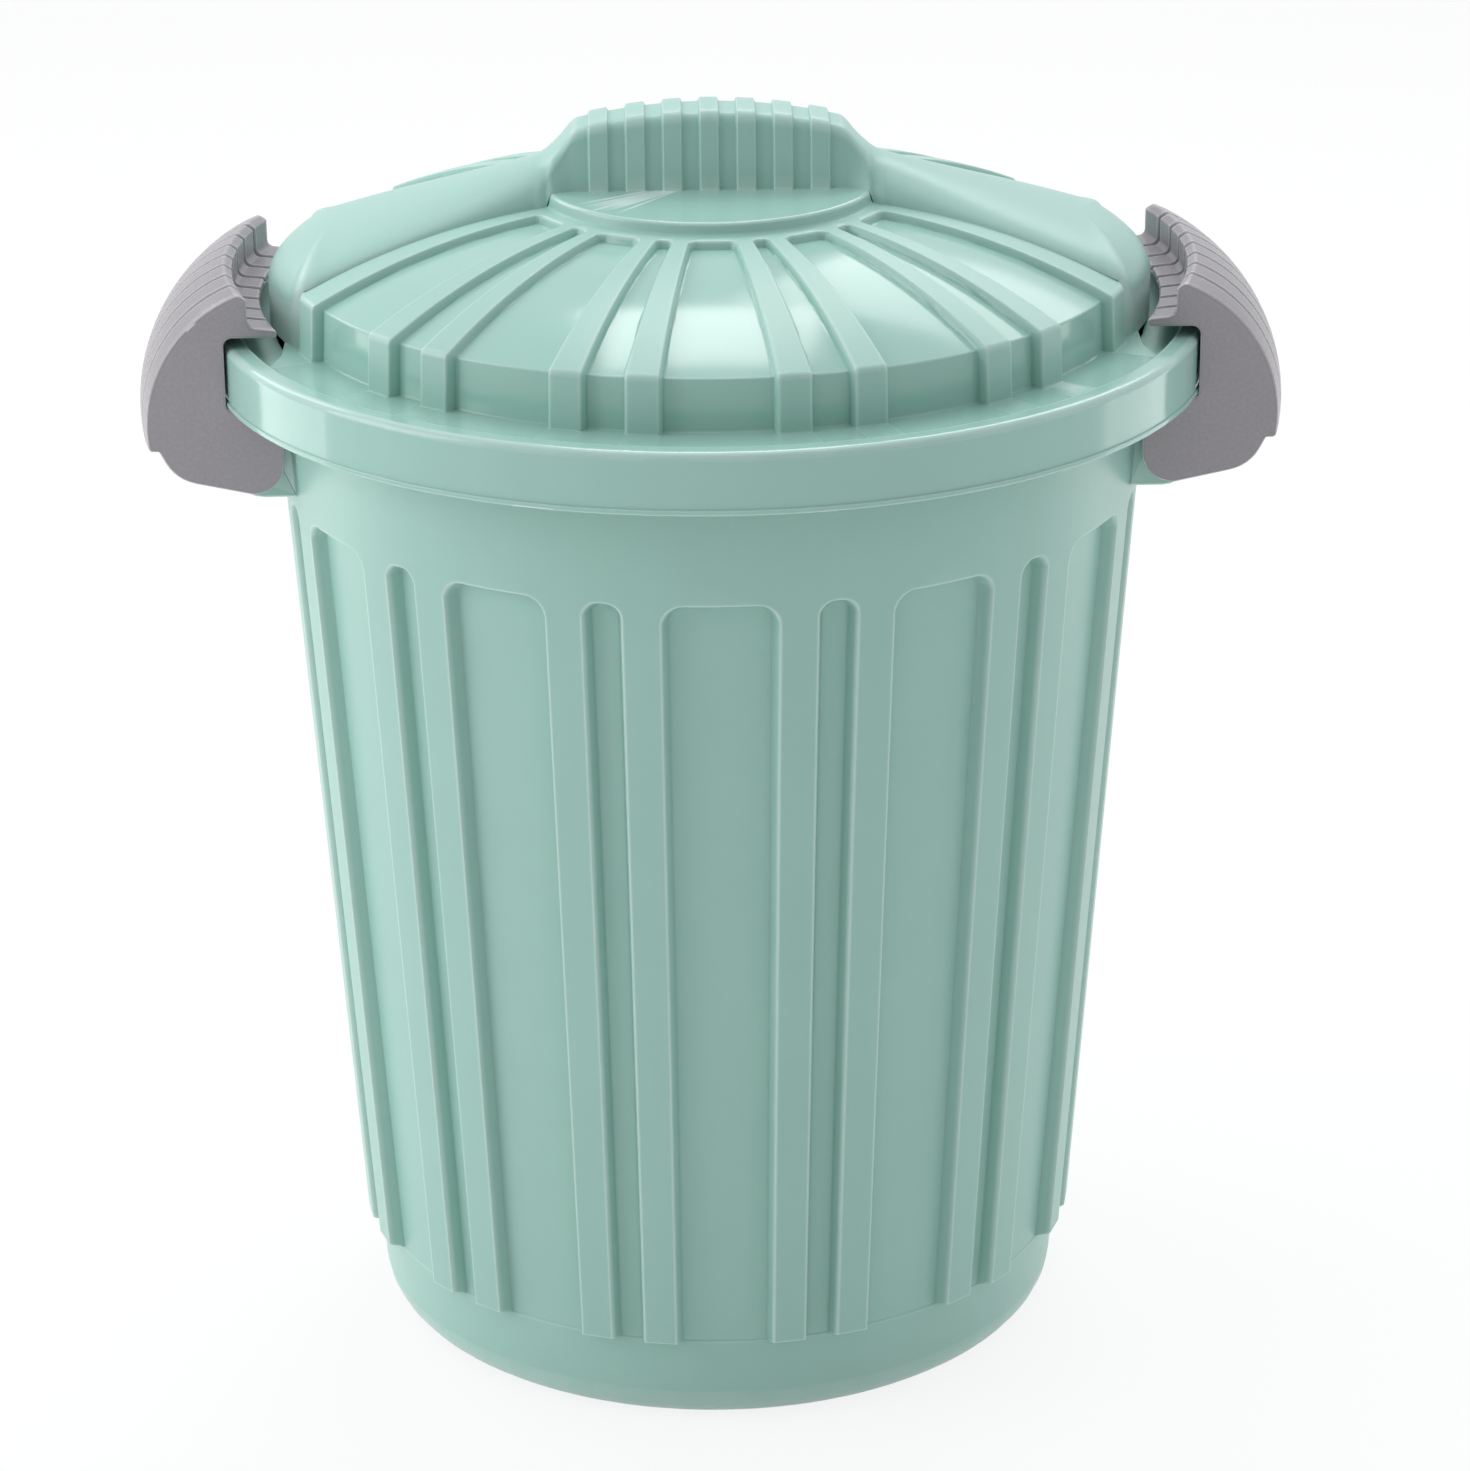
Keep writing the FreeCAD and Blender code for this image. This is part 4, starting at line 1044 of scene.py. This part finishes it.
def dress_object():
    """Replace the CAD shells by finished mouldings and give the pins their steel."""
    # The two shares of each green and grey finish set its painted highlight on edges and its painted shade
    # in creases
    wall = plastic(
        "green_wall", GREEN, CLOUDS, tone=0.94, roughness=(0.3, 0.4), grain=0.25, grain_scale=1500.0,
        painted_light_shares=(0.6, 0.35),
    )
    satin = plastic(
        "green_satin", GREEN, CLOUDS, tone=0.95, roughness=(0.3, 0.4), grain=0.3, grain_scale=1300.0,
        painted_light_shares=(0.55, 0.35),
    )
    polished = plastic(
        "green_polished", GREEN, CLOUDS, tone=0.96, roughness=(0.1, 0.16), grain=0.03, grain_scale=700.0,
        painted_light_shares=(0.8, 0.3),
    )
    ribbed = plastic(
        "grey_ribbed", GREY, CLOUDS, tone=0.92, roughness=(0.22, 0.3), grain=0.3, grain_scale=1300.0,
        painted_light_shares=(1.0, 1.0),
    )
    speckled = plastic(
        "grey_speckled", GREY_SPECKLED, SPECKLES, tone=0.72, roughness=(0.3, 0.4), grain=0.3,
        grain_scale=1300.0,
    )
    points, faces, finishes = bin_shell()
    tub = joined([(points, faces), *ear_plates()])
    add_piece("bin_moulding", *tub, "bin_body", "bin", "green_plastic", [wall, polished], finishes)
    points, faces, finishes, top_rows = lid_shell()
    lid = joined([(points, faces), lid_bar(top_rows)])
    add_piece("lid_moulding", *lid, "lid_body", "lid", "green_plastic", [satin, polished], finishes)
    for side, mirrored in (("left", True), ("right", False)):
        name = side + "_handle"
        points, faces = handle_mesh(mirrored)
        flat_sides = [int(len(face) > 4) for face in faces]
        clip = (name + "_moulding", points, faces, name + "_body", name)
        add_piece(*clip, "grey_plastic", [ribbed, speckled], flat_sides)
    rod = steel("pin_rod")
    for side in ("left", "right"):
        pin = frame["nodes"][side + "_pin"]
        pin.data.materials.clear()
        pin.data.materials.append(rod)


def add_camera():
    """Camera at the photograph's place, a little to the left of the front."""
    data = bpy.data.cameras.new("camera")
    data.sensor_fit = "HORIZONTAL"
    data.sensor_width = SENSOR
    data.lens = SENSOR * LENS_SHARE
    camera = bpy.data.objects.new("camera", data)
    bpy.context.scene.collection.objects.link(camera)
    turn = math.radians(CAMERA_TURN)
    yaw = math.radians(CAMERA_YAW) + turn
    pitch = math.radians(CAMERA_PITCH)
    roll = math.radians(CAMERA_ROLL)
    ahead = Vector((math.sin(yaw) * math.cos(pitch), math.cos(yaw) * math.cos(pitch), -math.sin(pitch)))
    right = Vector((math.cos(yaw), -math.sin(yaw), 0))
    up = right.cross(ahead)
    turned_right = math.cos(roll) * right + math.sin(roll) * up
    turned_up = -math.sin(roll) * right + math.cos(roll) * up
    place = Vector((-math.sin(turn) * CAMERA_DISTANCE, -math.cos(turn) * CAMERA_DISTANCE, CAMERA_HEIGHT))
    axes = Matrix((turned_right, turned_up, -ahead)).transposed()
    camera.matrix_world = Matrix.Translation(place) @ axes.to_4x4()
    bpy.context.scene.camera = camera


def add_light(name, place, target, width, height, power):
    """Soft box that faces its target."""
    data = bpy.data.lights.new(name, "AREA")
    data.shape = "RECTANGLE"
    data.size = width
    data.size_y = height
    data.energy = power
    light = bpy.data.objects.new(name, data)
    light.location = place
    light.rotation_mode = "QUATERNION"
    light.rotation_quaternion = (Vector(target) - Vector(place)).to_track_quat("-Z", "Y")
    light.visible_camera = False
    bpy.context.scene.collection.objects.link(light)


def add_stage():
    """White floor, soft boxes and a pale surround."""
    corners = [(FLOOR_HALF * x, FLOOR_HALF * y, 0) for x, y in ((-1, -1), (1, -1), (1, 1), (-1, 1))]
    mesh = bpy.data.meshes.new("floor")
    mesh.from_pydata(corners, [], [(0, 1, 2, 3)])
    floor = bpy.data.objects.new("floor", mesh)
    bpy.context.scene.collection.objects.link(floor)
    paint = bpy.data.materials.new("floor_paint")
    paint.use_nodes = True
    nodes = paint.node_tree.nodes
    links = paint.node_tree.links
    matt = nodes["Principled BSDF"]
    matt.inputs["Base Color"].default_value = (FLOOR_SHADE, FLOOR_SHADE, FLOOR_SHADE, 1)
    matt.inputs["Roughness"].default_value = FLOOR_ROUGHNESS
    matt.inputs["Specular IOR Level"].default_value = FLOOR_SPECULAR
    white = nodes.new("ShaderNodeEmission")
    white.inputs["Strength"].default_value = 1.0
    path = nodes.new("ShaderNodeLightPath")
    seen = path.outputs["Is Camera Ray"]
    for kind in ("Is Glossy Ray", "Is Transmission Ray"):
        either = nodes.new("ShaderNodeMath")
        either.operation = "MAXIMUM"
        links.new(seen, either.inputs[0])
        links.new(path.outputs[kind], either.inputs[1])
        seen = either.outputs["Value"]
    share = nodes.new("ShaderNodeMath")
    share.operation = "MULTIPLY"
    share.inputs[1].default_value = FLOOR_WHITE_SHARE
    links.new(seen, share.inputs[0])
    mix = nodes.new("ShaderNodeMixShader")
    links.new(share.outputs["Value"], mix.inputs["Fac"])
    links.new(matt.outputs["BSDF"], mix.inputs[1])
    links.new(white.outputs["Emission"], mix.inputs[2])
    links.new(mix.outputs["Shader"], nodes["Material Output"].inputs["Surface"])
    mesh.materials.append(paint)
    for light in LIGHTS:
        add_light(*light)
    add_surround()


def add_surround():
    """Pale surround, darker in front of the object than behind it, that the camera sees as white."""
    world = bpy.data.worlds.new("surround")
    world.use_nodes = True
    nodes = world.node_tree.nodes
    links = world.node_tree.links
    sky = nodes["Background"]
    sky.inputs["Color"].default_value = (*SKY_COLOUR, 1)
    place = nodes.new("ShaderNodeTexCoord")
    split = nodes.new("ShaderNodeSeparateXYZ")
    links.new(place.outputs["Generated"], split.inputs["Vector"])
    strength = nodes.new("ShaderNodeMapRange")
    strength.inputs["From Min"].default_value = SKY_RANGE[0]
    strength.inputs["From Max"].default_value = SKY_RANGE[1]
    strength.inputs["To Min"].default_value = SKY_FRONT
    strength.inputs["To Max"].default_value = SKY_BACK
    links.new(split.outputs["Y"], strength.inputs["Value"])
    links.new(strength.outputs["Result"], sky.inputs["Strength"])
    white = nodes.new("ShaderNodeBackground")
    white.inputs["Color"].default_value = (1, 1, 1, 1)
    path = nodes.new("ShaderNodeLightPath")
    mix = nodes.new("ShaderNodeMixShader")
    links.new(path.outputs["Is Camera Ray"], mix.inputs["Fac"])
    links.new(sky.outputs["Background"], mix.inputs[1])
    links.new(white.outputs["Background"], mix.inputs[2])
    links.new(mix.outputs["Shader"], nodes["World Output"].inputs["Surface"])
    bpy.context.scene.world = world


dress_object()
add_camera()
add_stage()
bpy.context.scene.view_settings.view_transform = "Standard"
